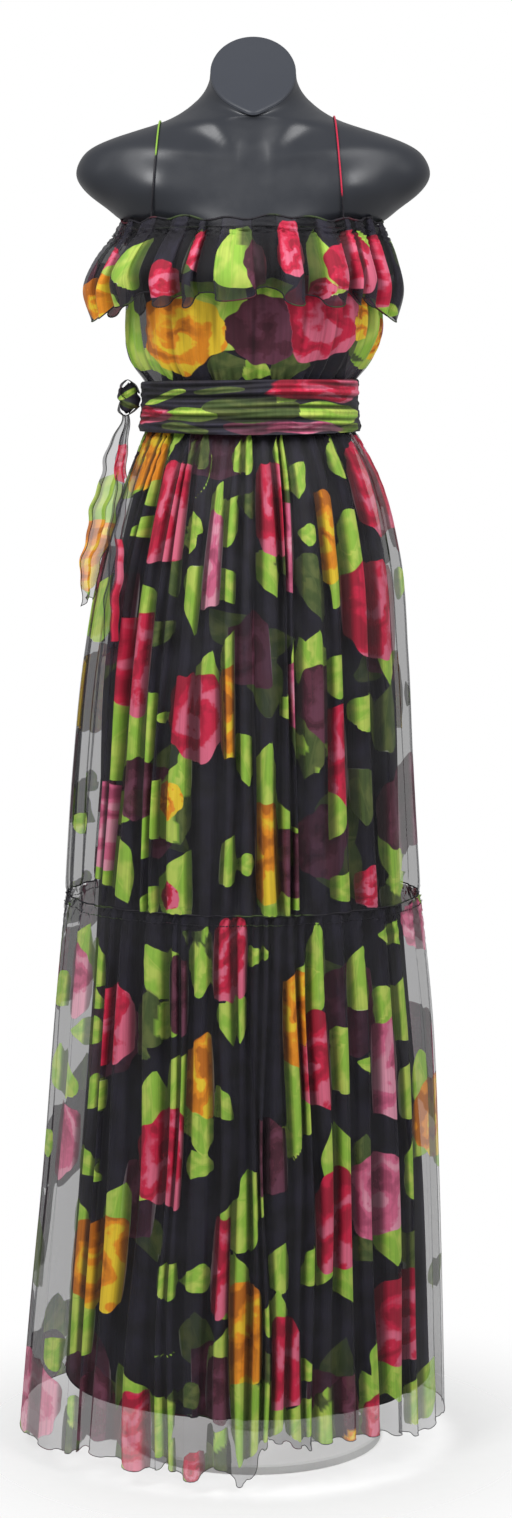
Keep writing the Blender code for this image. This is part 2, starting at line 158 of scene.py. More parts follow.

# The print on the front: motif, colour, left, right, low and high limits in metres as
# the figure is seen, and the lean of a leaf's tip from upright, in degrees.
UPPER_PRINT = (
    ("leaf", "lime", -0.030, 0.010, 1.058, 1.098, 15),
    ("leaf", "lime", 0.022, 0.044, 1.056, 1.098, -10),
    ("leaf", "lime", 0.078, 0.102, 1.052, 1.098, 10),
    ("leaf", "moss", -0.070, -0.046, 1.060, 1.098, 10),
    ("rose", "orange", -0.115, -0.098, 1.060, 1.100, 0),
    ("rose", "orange", -0.125, -0.095, 1.035, 1.105, 0),
    ("leaf", "lime", -0.105, -0.080, 1.070, 1.100, 35),
    ("rose", "crimson", -0.105, -0.075, 0.965, 1.070, 0),
    ("leaf", "lime", -0.110, -0.090, 1.020, 1.070, -30),
    ("leaf", "moss", -0.095, -0.070, 0.925, 0.975, 160),
    ("rose", "pink", -0.065, -0.030, 0.920, 1.020, 0),
    ("leaf", "lime", -0.055, -0.030, 1.005, 1.050, 15),
    ("leaf", "lime", -0.070, -0.045, 0.890, 0.960, 170),
    ("leaf", "lime", -0.128, -0.108, 0.880, 0.940, 165),
    ("rose", "crimson", -0.145, -0.105, 0.810, 0.915, 0),
    ("leaf", "lime", -0.155, -0.125, 0.765, 0.825, 200),
    ("leaf", "lime", -0.130, -0.100, 0.760, 0.820, 160),
    ("rose", "crimson", -0.080, -0.045, 0.765, 0.855, 0),
    ("leaf", "lime", -0.078, -0.050, 0.722, 0.770, 200),
    ("rose", "orange", -0.032, -0.012, 0.765, 0.860, 0),
    ("leaf", "lime", -0.035, -0.010, 0.850, 0.900, 5),
    ("leaf", "lime", -0.105, -0.075, 0.680, 0.760, 10),
    ("rose", "orange", -0.095, -0.085, 0.700, 0.740, 0),
    ("leaf", "lime", -0.133, -0.108, 0.665, 0.720, 25),
    ("rose", "orange", 0.000, 0.022, 0.610, 0.715, 0),
    ("leaf", "lime", 0.000, 0.024, 0.710, 0.780, 5),
    ("rose", "crimson", 0.004, 0.034, 0.970, 1.065, 0),
    ("leaf", "lime", -0.002, 0.030, 0.925, 0.975, 150),
    ("rose", "pink", 0.040, 0.052, 0.935, 1.030, 0),
    ("rose", "orange", 0.062, 0.086, 0.945, 1.040, 0),
    ("leaf", "moss", 0.058, 0.080, 0.905, 0.955, 160),
    ("leaf", "lime", 0.086, 0.112, 0.915, 0.970, 200),
    ("rose", "crimson", 0.108, 0.145, 0.990, 1.090, 0),
    ("rose", "crimson", 0.112, 0.154, 0.865, 0.970, 0),
    ("leaf", "lime", 0.098, 0.120, 0.955, 1.000, -20),
    ("leaf", "lime", 0.058, 0.086, 0.850, 0.892, 60),
    ("rose", "maroon", 0.062, 0.088, 0.785, 0.865, 0),
    ("rose", "pink", 0.042, 0.062, 0.790, 0.870, 0),
    ("leaf", "lime", 0.045, 0.070, 0.750, 0.795, 150),
    ("rose", "crimson", 0.090, 0.118, 0.715, 0.825, 0),
    ("leaf", "lime", 0.070, 0.095, 0.670, 0.725, 200),
    ("leaf", "lime", 0.104, 0.130, 0.700, 0.742, 120),
    ("stem", "lime", 0.110, 0.136, 0.795, 0.812, 70),
    ("rose", "maroon", 0.150, 0.174, 0.655, 0.750, 0),
    ("rose", "crimson", 0.106, 0.145, 0.605, 0.650, 0),
    ("leaf", "lime", 0.138, 0.172, 0.605, 0.655, 60),
    ("leaf", "lime", -0.045, -0.022, 0.640, 0.690, 20),
    ("stem", "lime", -0.062, -0.045, 1.030, 1.075, 20),
    ("rose", "maroon", -0.140, -0.110, 0.700, 0.765, 0),
    ("leaf", "moss", 0.128, 0.150, 0.770, 0.840, 10),
    ("rose", "maroon", 0.030, 0.050, 0.620, 0.690, 0),
    ("leaf", "lime", 0.030, 0.050, 0.610, 0.650, -20),
    ("rose", "pink", -0.175, -0.150, 0.640, 0.730, 0),
    ("leaf", "lime", -0.175, -0.150, 0.880, 0.950, 10),
    ("leaf", "lime", -0.090, -0.065, 0.610, 0.650, 40),
    ("rose", "crimson", -0.100, -0.085, 0.605, 0.635, 0),
)
LOWER_PRINT = (
    ("rose", "maroon", -0.188, -0.146, 0.040, 0.118, 0),
    ("leaf", "lime", -0.100, -0.074, 0.008, 0.066, 15),
    ("leaf", "moss", -0.062, -0.018, 0.014, 0.078, -20),
    ("rose", "maroon", -0.062, -0.018, 0.080, 0.150, 0),
    ("leaf", "lime", 0.068, 0.098, 0.052, 0.112, -15),
    ("rose", "maroon", 0.092, 0.122, 0.050, 0.120, 0),
    ("leaf", "lime", 0.162, 0.196, 0.050, 0.110, 25),
    ("rose", "orange", 0.098, 0.118, 0.040, 0.075, 0),
    ("leaf", "moss", -0.215, -0.185, 0.020, 0.080, 30),
    ("leaf", "moss", -0.250, -0.215, 0.180, 0.250, -15),
    ("rose", "pink", -0.205, -0.180, 0.480, 0.560, 0),
    ("rose", "pink", 0.160, 0.186, 0.545, 0.600, 0),
    ("rose", "crimson", -0.165, -0.130, 0.440, 0.525, 0),
    ("leaf", "lime", -0.178, -0.150, 0.385, 0.425, 210),
    ("leaf", "lime", -0.180, -0.155, 0.520, 0.570, -15),
    ("rose", "crimson", -0.045, -0.010, 0.515, 0.600, 0),
    ("leaf", "lime", -0.065, -0.045, 0.540, 0.595, 10),
    ("leaf", "lime", -0.030, -0.005, 0.470, 0.520, 170),
    ("rose", "orange", -0.062, -0.046, 0.395, 0.480, 0),
    ("leaf", "lime", -0.096, -0.068, 0.400, 0.465, 20),
    ("leaf", "lime", -0.066, -0.044, 0.355, 0.400, 170),
    ("rose", "crimson", -0.120, -0.072, 0.300, 0.400, 0),
    ("leaf", "lime", -0.130, -0.105, 0.300, 0.340, 215),
    ("leaf", "lime", -0.082, -0.055, 0.370, 0.410, 60),
    ("rose", "orange", 0.032, 0.058, 0.445, 0.540, 0),
    ("leaf", "lime", 0.030, 0.060, 0.405, 0.455, 185),
    ("stem", "lime", 0.034, 0.050, 0.350, 0.440, 5),
    ("rose", "crimson", 0.055, 0.085, 0.400, 0.500, 0),
    ("leaf", "lime", 0.078, 0.106, 0.420, 0.478, 15),
    ("leaf", "lime", 0.098, 0.124, 0.505, 0.570, 10),
    ("leaf", "lime", 0.060, 0.085, 0.540, 0.595, -15),
    ("rose", "pink", 0.138, 0.152, 0.385, 0.490, 0),
    ("leaf", "lime", 0.150, 0.182, 0.380, 0.445, 20),
    ("leaf", "lime", 0.125, 0.150, 0.480, 0.520, 200),
    ("rose", "orange", 0.182, 0.202, 0.320, 0.410, 0),
    ("rose", "orange", -0.186, -0.134, 0.180, 0.280, 0),
    ("leaf", "lime", -0.205, -0.165, 0.120, 0.185, 200),
    ("leaf", "lime", -0.150, -0.125, 0.250, 0.290, 40),
    ("leaf", "lime", -0.200, -0.180, 0.255, 0.300, -25),
    ("rose", "crimson", -0.052, -0.016, 0.190, 0.295, 0),
    ("leaf", "lime", -0.102, -0.070, 0.205, 0.250, 35),
    ("stem", "lime", -0.122, -0.072, 0.140, 0.165, 75),
    ("leaf", "lime", 0.070, 0.112, 0.320, 0.385, -20),
    ("rose", "crimson", 0.066, 0.114, 0.228, 0.335, 0),
    ("leaf", "lime", 0.052, 0.078, 0.210, 0.255, 215),
    ("leaf", "lime", 0.085, 0.120, 0.195, 0.240, 150),
    ("rose", "pink", 0.122, 0.150, 0.262, 0.350, 0),
    ("leaf", "moss", 0.112, 0.130, 0.330, 0.375, 0),
    ("leaf", "moss", 0.155, 0.184, 0.205, 0.268, 30),
    ("rose", "crimson", 0.142, 0.186, 0.117, 0.215, 0),
    ("leaf", "lime", 0.140, 0.165, 0.080, 0.125, 165),
    ("rose", "orange", -0.015, 0.003, 0.115, 0.220, 0),
    ("leaf", "lime", -0.016, 0.005, 0.030, 0.120, 185),
    ("leaf", "lime", 0.015, 0.035, 0.215, 0.265, 10),
    ("rose", "crimson", 0.018, 0.050, 0.088, 0.185, 0),
    ("leaf", "lime", 0.040, 0.065, 0.060, 0.105, 30),
    ("leaf", "moss", 0.066, 0.105, 0.080, 0.122, 50),
    ("rose", "crimson", 0.120, 0.148, 0.050, 0.098, 0),
    ("leaf", "lime", 0.110, 0.135, 0.090, 0.125, -30),
    ("rose", "pink", -0.256, -0.210, 0.020, 0.110, 0),
    ("leaf", "lime", -0.225, -0.195, 0.105, 0.150, 40),
    ("rose", "pink", -0.222, -0.184, 0.310, 0.392, 0),
    ("leaf", "lime", -0.218, -0.190, 0.395, 0.445, -20),
    ("rose", "crimson", -0.136, -0.102, 0.020, 0.110, 0),
    ("leaf", "lime", -0.115, -0.085, 0.040, 0.085, 35),
    ("rose", "maroon", -0.090, -0.060, 0.480, 0.560, 0),
    ("leaf", "moss", -0.125, -0.100, 0.470, 0.530, 10),
    ("leaf", "lime", -0.060, -0.035, 0.120, 0.165, -25),
    ("rose", "maroon", 0.005, 0.030, 0.310, 0.390, 0),
    ("leaf", "lime", 0.155, 0.185, 0.290, 0.335, -25),
    ("rose", "crimson", -0.075, -0.045, 0.010, 0.050, 0),
)
BODICE_PRINT = (
    ("rose", "orange", -0.113, -0.033, 1.158, 1.238, 0),
    ("leaf", "lime", -0.050, -0.006, 1.186, 1.268, 15),
    ("leaf", "lime", -0.070, -0.020, 1.205, 1.262, -60),
    ("leaf", "lime", 0.006, 0.040, 1.222, 1.262, 70),
    ("leaf", "lime", -0.105, -0.060, 1.215, 1.262, -35),
    ("rose", "maroon", -0.022, 0.042, 1.165, 1.236, 0),
    ("rose", "crimson", 0.033, 0.114, 1.170, 1.256, 0),
    ("leaf", "moss", 0.020, 0.060, 1.152, 1.178, 80),
    ("leaf", "lime", -0.010, 0.020, 1.150, 1.172, 100),
    ("leaf", "lime", 0.104, 0.130, 1.215, 1.255, 40),
    ("leaf", "moss", 0.110, 0.134, 1.168, 1.222, 10),
    ("leaf", "moss", -0.045, 0.000, 1.150, 1.176, 80),
    ("leaf", "lime", -0.113, -0.085, 1.150, 1.185, 150),
    ("rose", "orange", 0.108, 0.122, 1.190, 1.236, 0),
    ("leaf", "lime", -0.142, -0.123, 1.160, 1.240, 0),
    ("leaf", "lime", 0.122, 0.140, 1.165, 1.245, 10),
    ("rose", "orange", 0.131, 0.142, 1.170, 1.215, 0),
)
RUFFLE_PRINT = (
    ("leaf", "lime", -0.132, -0.098, 1.248, 1.302, 30),
    ("rose", "crimson", -0.114, -0.070, 1.232, 1.270, 0),
    ("leaf", "lime", -0.168, -0.140, 1.236, 1.280, 35),
    ("rose", "crimson", -0.165, -0.150, 1.262, 1.290, 0),
    ("leaf", "moss", -0.080, -0.055, 1.262, 1.306, 20),
    ("leaf", "moss", -0.012, 0.012, 1.256, 1.306, -25),
    ("leaf", "lime", -0.036, -0.004, 1.240, 1.306, 0),
    ("stem", "lime", -0.050, -0.026, 1.245, 1.300, 20),
    ("rose", "crimson", 0.022, 0.056, 1.252, 1.310, 0),
    ("leaf", "lime", 0.046, 0.080, 1.240, 1.306, -15),
    ("leaf", "lime", 0.070, 0.092, 1.250, 1.290, 20),
    ("rose", "crimson", 0.074, 0.128, 1.240, 1.300, 0),
    ("rose", "crimson", 0.052, 0.078, 1.235, 1.258, 0),
    ("leaf", "lime", 0.104, 0.126, 1.285, 1.306, -40),
    ("rose", "crimson", 0.128, 0.153, 1.228, 1.300, 0),
    ("leaf", "lime", 0.120, 0.150, 1.215, 1.240, 100),
    ("rose", "orange", -0.172, -0.138, 1.215, 1.262, 0),
    ("rose", "crimson", -0.058, -0.040, 1.262, 1.306, 0),
    ("leaf", "lime", -0.150, -0.130, 1.215, 1.240, 150),
    ("rose", "maroon", 0.000, 0.022, 1.240, 1.290, 0),
)
SASH_PRINT = (
    ("rose", "crimson", 0.022, 0.110, 1.127, 1.155, 0),
    ("rose", "crimson", -0.123, -0.086, 1.106, 1.124, 0),
    ("blade", "moss", -0.050, 0.050, 1.108, 1.134, 92),
    ("blade", "lime", -0.092, -0.030, 1.108, 1.122, 85),
    ("blade", "lime", 0.042, 0.108, 1.106, 1.127, 95),
    ("blade", "lime", 0.010, 0.050, 1.122, 1.134, 70),
    ("blade", "lime", -0.110, -0.070, 1.128, 1.136, 75),
    ("blade", "moss", -0.060, -0.010, 1.136, 1.143, 84),
    ("blade", "maroon", -0.030, 0.045, 1.098, 1.112, 90),
    ("rose", "pink", 0.015, 0.090, 1.097, 1.108, 0),
    ("blade", "moss", -0.095, -0.045, 1.097, 1.106, 94),
    ("blade", "lime", 0.085, 0.112, 1.097, 1.106, 88),
)

# The sash's hanging ends, at the left side: places down each, and half its width there.
TAILS = {
    "sash_tail_wide": (
        ((-0.136, -0.014, 1.1145), 0.009),
        ((-0.147, -0.026, 1.068), 0.014),
        ((-0.160, -0.033, 1.010), 0.015),
        ((-0.171, -0.035, 0.965), 0.011),
        ((-0.177, -0.035, 0.918), 0.006),
    ),
    "sash_tail_narrow": (
        ((-0.134, -0.033, 1.1145), 0.007),
        ((-0.138, -0.052, 1.060), 0.008),
        ((-0.143, -0.072, 1.000), 0.008),
        ((-0.146, -0.097, 0.930), 0.008),
        ((-0.150, -0.103, 0.870), 0.007),
    ),
}
KNOT_SWELL = (1.35, 1.15, 1.05)
KNOT_PRINT = (
    ("blade", "lime", -0.012, 0.012, 1.133, 1.140, 60),
    ("blade", "moss", -0.012, 0.012, 1.121, 1.128, 110),
)
# The two drawn-up loops beside the knot, as points along each.
KNOT_LOOPS = {
    "sash_loop_upper": (
        (-0.1200, -0.016, 1.136),
        (-0.1240, -0.017, 1.146),
        (-0.1330, -0.018, 1.152),
        (-0.1400, -0.018, 1.146),
        (-0.1390, -0.017, 1.136),
        (-0.1320, -0.016, 1.130),
    ),
    "sash_loop_lower": (
        (-0.1200, -0.010, 1.124),
        (-0.1270, -0.012, 1.117),
        (-0.1360, -0.014, 1.112),
        (-0.1430, -0.015, 1.118),
        (-0.1400, -0.014, 1.128),
        (-0.1330, -0.012, 1.132),
    ),
}
TAIL_PRINTS = {
    "sash_tail_wide": (
        ("leaf", "lime", 0.0, 1.0, 0.985, 1.060, 0),
        ("rose", "orange", 0.0, 1.0, 0.930, 1.005, 0),
        ("leaf", "lime", 0.0, 1.0, 0.915, 0.935, 180),
    ),
    "sash_tail_narrow": (
        ("rose", "crimson", 0.0, 1.0, 1.045, 1.085, 0),
        ("rose", "crimson", 0.6, 1.0, 0.880, 0.990, 0),
    ),
}
STRAPS = {"strap_left": -0.106, "strap_right": 0.094}
STRAP_LEAN = 0.075
STRAP_CLEARANCE = 0.0014
STRAP_END = 0.0014
NECKLINE = 1.306
FLOOR_REACH = 1.1
FLOOR_FADE = (0.10, 0.50)
FLOOR_SHARE = 0.55
CAMERA_SIDE = 0.003
AIM_HEIGHT = 0.95
BLOUSE_HEIGHT = 1.185
SASH_TOP = 1.152
SASH_MIDDLE = 1.12
BODICE_MIDDLE = 1.22
# Each tier's grid and seed: steps in a fold, rows down it, and the seed of its folds.
TIER_GRIDS = {"upper": (15, 150, 11), "lower": (14, 170, 23)}
BACK_SEED = 50
HEM_LEVEL = 0.03
FORM_COLUMNS = 180
# The radius of each rolled edge that isn't the usual one.
EDGE_RADII = {
    "hem_roll": 0.0004,
    "tier_seam_roll": 0.0008,
    "underskirt_hem_roll": 0.0009,
    "neckline_edge_roll": 0.0010,
    "ruffle_head_roll": 0.0012,
    "sash_tail_edges": 0.0004,
}
# Rays that find a strap's way over the shoulder: how many, the first one's angle and their span
# in degrees, how far out they start, the height they aim at and the lowest hit that counts.
STRAP_RAYS = 80
STRAP_FIRST_RAY = -35.0
STRAP_RAY_SPAN = 250.0
STRAP_RAY_START = 0.3
STRAP_RAY_HEIGHT = 1.345
STRAP_LOWEST_HIT = 1.322
# How much wider the folds are, and how much shallower, next to a side seam.
SIDE_WIDENING = 1.6
SIDE_CALM = 0.78
# How far a fold's print may lie off its neighbours'.
SLIP = 0.0022
# Bodice wrinkles: how many across a half, and how high.
BODICE_WRINKLES = ((9, 0.0009), (17, 0.0008), (31, 0.0006), (53, 0.0004))
# Sash pleats: how many down its width, how high, and how far they slant.
SASH_PLEATS = ((2.3, 0.0012, 0.9), (5.1, 0.0012, 1.7), (9.0, 0.0008, 2.6))
RUFFLE_SIDE_DROP = 0.013
RUFFLE_LOBE = 0.004
RUFFLE_LOBES = 7
RUFFLE_SWING = 0.014
RUFFLE_HEAD = 0.0030
TILE = 4.0
STEM_HALF = 0.0014
# How much wider a motif near a side seam may be on the cloth than it looks from the front.
MOST_STRETCH = 2.0


# ---------------------------------------------------------------- settings


def metres(name, description, value):
    """A length the user can change."""
    return FloatProperty(name=name, description=description, default=value, unit="LENGTH")


class GownSizes(bpy.types.PropertyGroup):
    """Sizes of the cloth's folds, edges and straps."""

    upper_folds: IntProperty(name="Upper Folds", description="Folds in half a tier", default=20)
    lower_folds: IntProperty(name="Lower Folds", description="Folds in half a tier", default=23)
    ruffle_folds: IntProperty(name="Ruffle Folds", description="Folds in half", default=12)
    fold_depth: metres("Fold Depth", "Depth of a full fold", 0.0125)
    gather_depth: metres("Gather Depth", "Depth at a gathered seam", 0.0035)
    ruffle_depth: metres("Ruffle Depth", "Depth of the ruffle's folds", 0.021)
    roll_radius: metres("Edge Roll", "Radius of a rolled edge", 0.0007)
    stitch_length: metres("Stitch", "Length of a seam stitch", 0.0022)
    strap_radius: metres("Strap Radius", "Radius of a rolled strap", 0.0009)
    weave: FloatProperty(
        name="Weave", description="Threads in a metre of cloth", default=1100.0
    )


def colour(name, description, value):
    """A colour the user can change."""
    return FloatVectorProperty(
        name=name, description=description, subtype="COLOR", size=3, min=0.0, max=1.0, default=value
    )


class GownColours(bpy.types.PropertyGroup):
    """Colours of the print, the form and the stand."""

    ground: colour("Ground", "Black ground of the print", (0.014, 0.012, 0.018))
    lime: colour("Lime", "Leaves", (0.300, 0.540, 0.055))
    lime_light: colour("Lime Light", "Light side of a leaf", (0.520, 0.660, 0.110))
    moss: colour("Moss", "Muted leaves", (0.060, 0.095, 0.022))
    moss_light: colour("Moss Light", "Light side of a muted leaf", (0.120, 0.150, 0.040))
    crimson: colour("Crimson", "Red roses", (0.640, 0.012, 0.060))
    crimson_light: colour("Crimson Light", "Light petals of red roses", (0.780, 0.150, 0.250))
    pink: colour("Pink", "Pink roses", (0.700, 0.140, 0.270))
    pink_light: colour("Pink Light", "Light petals of pink roses", (0.820, 0.330, 0.450))
    orange: colour("Orange", "Petals of yellow roses", (0.900, 0.310, 0.012))
    orange_light: colour("Yellow", "Light petals of yellow roses", (0.930, 0.640, 0.030))
    maroon: colour("Maroon", "Muted roses", (0.100, 0.020, 0.040))
    maroon_light: colour("Maroon Light", "Light petals of muted roses", (0.150, 0.040, 0.075))
    lining: colour("Lining", "Plain lining cloth", (0.012, 0.011, 0.014))
    form: colour("Form", "Moulded torso", (0.026, 0.029, 0.037))
    stand: colour("Stand", "Painted stand", (0.820, 0.820, 0.815))


class GownStage(bpy.types.PropertyGroup):
    """Camera and light of the studio."""

    distance: metres("Distance", "Camera to the gown's axis", 3.40)
    height: metres("Height", "Camera above the floor", 1.13)
    pitch: FloatProperty(
        name="Pitch", description="Downward tilt", default=math.radians(6.44), subtype="ANGLE"
    )
    lens: FloatProperty(name="Lens", description="Focal length in millimetres", default=75.46)
    key: FloatProperty(name="Key Light", description="Power in watts", default=56.0)
    fill: FloatProperty(name="Fill Light", description="Power in watts", default=44.0)
    under: FloatProperty(
        name="Under-skirt Light", description="Watts, on the floor in the skirt", default=2.0
    )
    sky: FloatProperty(name="Surround", description="Strength of the white room", default=0.40)


def sizes():
    """The scene's sizes."""
    return bpy.context.scene.gown_sizes


def colours():
    """The scene's colours."""
    return bpy.context.scene.gown_colours


# ---------------------------------------------------------------- the figure


def near(value, middle, spread):
    """A soft hill round a middle."""
    return np.exp(-(((value - middle) / spread) ** 2))


def half_node(kind, front):
    """The frame's name for the front or back half of a piece."""
    return f"{kind}_front" if front else f"{kind}_back"


def smooth_levels(levels, heights):
    """Sizes at any heights, on smooth curves through the rows of a table of levels."""
    table = np.array(sorted(levels))
    knots = table[:, 0]
    values = table[:, 1:]
    slopes = np.gradient(values, knots, axis=0)
    places = np.clip(heights, knots[0], knots[-1])
    low = np.clip(np.searchsorted(knots, places, side="right") - 1, 0, len(knots) - 2)
    span = (knots[low + 1] - knots[low])[..., None]
    share = (places - knots[low])[..., None] / span
    square = share**2
    cube = share**3
    return (
        values[low] * (2 * cube - 3 * square + 1)
        + slopes[low] * span * (cube - 2 * square + share)
        + values[low + 1] * (3 * square - 2 * cube)
        + slopes[low + 1] * span * (cube - square)
    )


def round_figure(reach, angle, lift=0.0, power=2.0):
    """Places on the outline; 0 is the right side and a quarter turn the front."""
    left, right, front, back = np.moveaxis(np.asarray(reach), -1, 0)
    cosine = np.cos(angle)
    sine = np.sin(angle)
    width = np.where(cosine > 0, right, left)
    depth = np.where(sine > 0, front, back)
    normal_x = cosine / width
    normal_y = -sine / depth
    length = np.hypot(normal_x, normal_y)
    x = width * np.sign(cosine) * np.abs(cosine) ** (2.0 / power)
    y = -depth * np.sign(sine) * np.abs(sine) ** (2.0 / power)
    return x + lift * normal_x / length, y + lift * normal_y / length


def half_turn(across, front):
    """The angle round the figure, from one side seam (0) to the other (1)."""
    return math.pi * (1.0 - across) if front else -math.pi * across


def half_girth(levels, height):
    """The length of half the outline at a height, as an ellipse's."""
    left, right, front, back = smooth_levels(levels, np.array(height))
    return math.pi * ((left + right) / 2 + (front + back) / 2) / 2


def across_of(levels, x, height):
    """Where across the front half a place seen at x lies, from 0 at the left to 1."""
    left, right, _, _ = smooth_levels(levels, np.array(height))
    share = np.clip(x / (right if x > 0 else left), -1.0, 1.0)
    return 1.0 - math.acos(share) / math.pi


# ---------------------------------------------------------------- folds


def meander(steps, turn):
    """One fold seen from above, from trough to trough.

    Gives how far across (0 to 1) and how far out (0 to 1) the cloth is at each step, and the
    fullness: how much longer the cloth is than the fold is wide.
    """
    fine = 40
    along = np.linspace(0.0, 1.0, steps * fine + 1)
    heading = turn * np.sin(2.0 * math.pi * along)
    across = np.concatenate(([0.0], np.cumsum(np.cos(heading[:-1]))))
    out = np.concatenate(([0.0], np.cumsum(np.sin(heading[:-1]))))
    fullness = len(heading) / across[-1]
    return (across / across[-1])[::fine], (out / out.max())[::fine], fullness


def near_side(count):
    """How near each of a half's folds is to a side seam, from 0 to 1."""
    middle = (np.arange(count) + 0.5) / count
    return near(np.minimum(middle, 1.0 - middle), 0.0, 0.13)


def fold_edges(count, rows, length, seed, widening):
    """Where the troughs of a half lie in each row: uneven, wider towards the side seams, and
    drifting a little on their way down."""
    random = np.random.default_rng(seed)
    widths = (0.35 + 1.5 * random.random(count) ** 1.6) * (1.0 + widening * near_side(count))
    edges = np.concatenate(([0.0], np.cumsum(widths))) / widths.sum()
    phase = random.uniform(0.0, 2.0 * math.pi, count + 1)
    reach = random.uniform(0.04, 0.17, count + 1) / count
    reach[[0, -1]] = 0.0
    down = np.linspace(0.0, 1.0, rows)[:, None]
    return edges + reach * np.sin(phase + 2.2 * math.pi * length * down) - reach * np.sin(phase)


class Folded:
    """A gathered half: a grid of points with its flat cloth's places."""

    # How far beyond its limits a motif may show; a fold hides what is beyond its edge.
    spill = 1.0

    def __init__(self, levels, heights, front, folds, depth, seed, turn=1.45, steps=12, calm=True):
        rows = heights.shape[0]
        shape_across, shape_out, self.fullness = meander(steps, turn)
        widening = SIDE_WIDENING if calm else 0.0
        edges = fold_edges(folds, rows, float(np.ptp(heights)) / 0.5, seed, widening)
        column = np.arange(folds * steps + 1)
        fold = np.minimum(column // steps, folds - 1)
        step = column - fold * steps
        width = edges[:, fold + 1] - edges[:, fold]
        self.across = edges[:, fold] + width * shape_across[step]
        self.centre = (edges[:, fold] + width / 2).mean(axis=0)
        random = np.random.default_rng(seed + 7)
        strength = random.uniform(0.40, 1.25, folds) * (1.0 - SIDE_CALM * calm * near_side(folds))
        sway = random.uniform(0.0, 2.0 * math.pi, folds)
        down = np.linspace(0.0, 1.0, rows)[:, None]
        strength = strength[fold] * (1.0 + 0.18 * np.sin(sway[fold] + 5.0 * down))
        self.lift = depth[:, None] * strength * (shape_out[step] - 1.0)
        self.out = np.broadcast_to(shape_out[step], self.lift.shape)
        girth = half_girth(levels, float(np.mean(heights)))
        cloth = self.fullness * width.mean(axis=0) * girth
        across = self.across.mean(axis=0)
        seen = (across - self.centre) * girth
        self.offset = 0.65 * seen + 0.35 * (step / steps - 0.5) * cloth
        self.offset = self.offset + random.uniform(-SLIP, SLIP, folds)[fold]
        self.rise = random.uniform(-2.0 * SLIP, 2.0 * SLIP, folds)[fold]
        self.flat = np.cumsum(np.concatenate(([0.0], cloth[1:] / steps)))
        self.angle = half_turn(self.across, front)
        self.levels = levels
        self.front = front

    def grid(self, heights):
        """Points of the folded half, given each point's height."""
        reach = smooth_levels(self.levels, heights)
        x, y = round_figure(reach, self.angle, self.lift)
        return np.stack((x, y, heights), axis=-1)


class Unfolded:
    """A half with no gathers, for laying a print on."""

    def __init__(self, levels):
        self.levels = levels


def lay_flat(cloth, across):
    """Let the print lie on the outline itself, at these places across."""
    cloth.centre = across
    cloth.offset = np.zeros(len(across))
    cloth.rise = np.zeros(len(across))
    cloth.spill = 1.4
    return cloth


def plain_heights(top, foot, rows, columns):
    """Even heights from a top to a foot, each a number or one value for each column."""
    down = np.linspace(0.0, 1.0, rows)[:, None]
    return np.broadcast_to(top + (foot - top) * down, (rows, columns)).copy()


# ---------------------------------------------------------------- the print


def rose_edge(u, v, seed):
    """The uneven outline of a rose, as a share of its radius, in the direction (u, v)."""
    angle = np.arctan2(v, u)
    return (
        1.0
        + 0.070 * np.sin(3.0 * angle + seed)
        + 0.050 * np.sin(5.0 * angle + 2.3 * seed)
        + 0.028 * np.sin(11.0 * angle + 0.7 * seed)
    )


class Print:
    """The print of one piece: for each point, its place on a rose and on a leaf."""

    FAR = -0.02

    def __init__(self, count):
        self.rose = np.full((count, 3), self.FAR)
        self.leaf = np.full((count, 3), self.FAR)
        self.rose_tint = np.ones((count, 4))
        self.rose_light = np.ones((count, 4))
        self.leaf_tint = np.ones((count, 4))
        self.leaf_light = np.ones((count, 4))

    def put(self, layer, chosen, u, v, inside, tint):
        """Keep this motif where it reaches further in than what is there."""
        place = getattr(self, layer)
        better = inside > place[chosen, 2]
        rows = chosen[better]
        place[rows] = np.column_stack((u[better], v[better], inside[better]))
        getattr(self, layer + "_tint")[rows, :3] = getattr(colours(), tint)
        getattr(self, layer + "_light")[rows, :3] = getattr(colours(), tint + "_light")

    def draw(self, motif, chosen, x, z):
        """One motif on the chosen points, at x and z metres from its middle."""
        kind, tint, left, right, low, high, lean = motif
        half_height = (high - low) / 2
        half_width = (right - left) / 2
        if kind == "rose":
            wide = max(half_width * 1.12, half_height * 0.80)
            u = x / wide
            v = z / half_height
            inside = (rose_edge(u, v, 40.0 * (left + high)) - np.hypot(u, v)) * half_height
            cell = TILE * (round(700 * left) % 9)
            level = TILE * (round(900 * high) % 7)
            self.put("rose", chosen, u + cell, v + level, inside, tint)
            return
        turn = math.radians(lean)
        length = max(half_height * abs(math.cos(turn)), half_width * abs(math.sin(turn)), 0.008)
        length = length / (1.0 - 0.25 * abs(math.sin(2.0 * turn)))
        along = (x * math.sin(turn) + z * math.cos(turn)) / length
        side = x * math.cos(turn) - z * math.sin(turn)
        within = np.abs(along) <= 1.0
        if kind == "leaf":
            blade = min(length * 0.64, 0.024)
            body = np.clip(1.0 - along, 0.0, 2.0) ** 1.1 * np.clip(1.0 + along, 0.0, 2.0) ** 0.45
            jag = 0.0010 * np.sin(7.0 * along + 90.0 * left) * np.clip(1.0 - along, 0.0, 1.0)
            inside = body * blade * 0.98 + jag - np.abs(side - 0.25 * blade * along**2)
            place = side / blade
        elif kind == "blade":
            blade = max(min(half_height, half_width), 0.0015)
            inside = np.sqrt(np.clip(1.0 - along**2, 0.0, 1.0)) * blade - np.abs(side)
            place = side / blade
        else:
            inside = STEM_HALF - np.abs(side - 0.35 * length * (1.0 - along**2))
            place = np.full_like(side, 0.5)
        self.put("leaf", chosen, along, place, np.where(within, inside, self.FAR), tint)


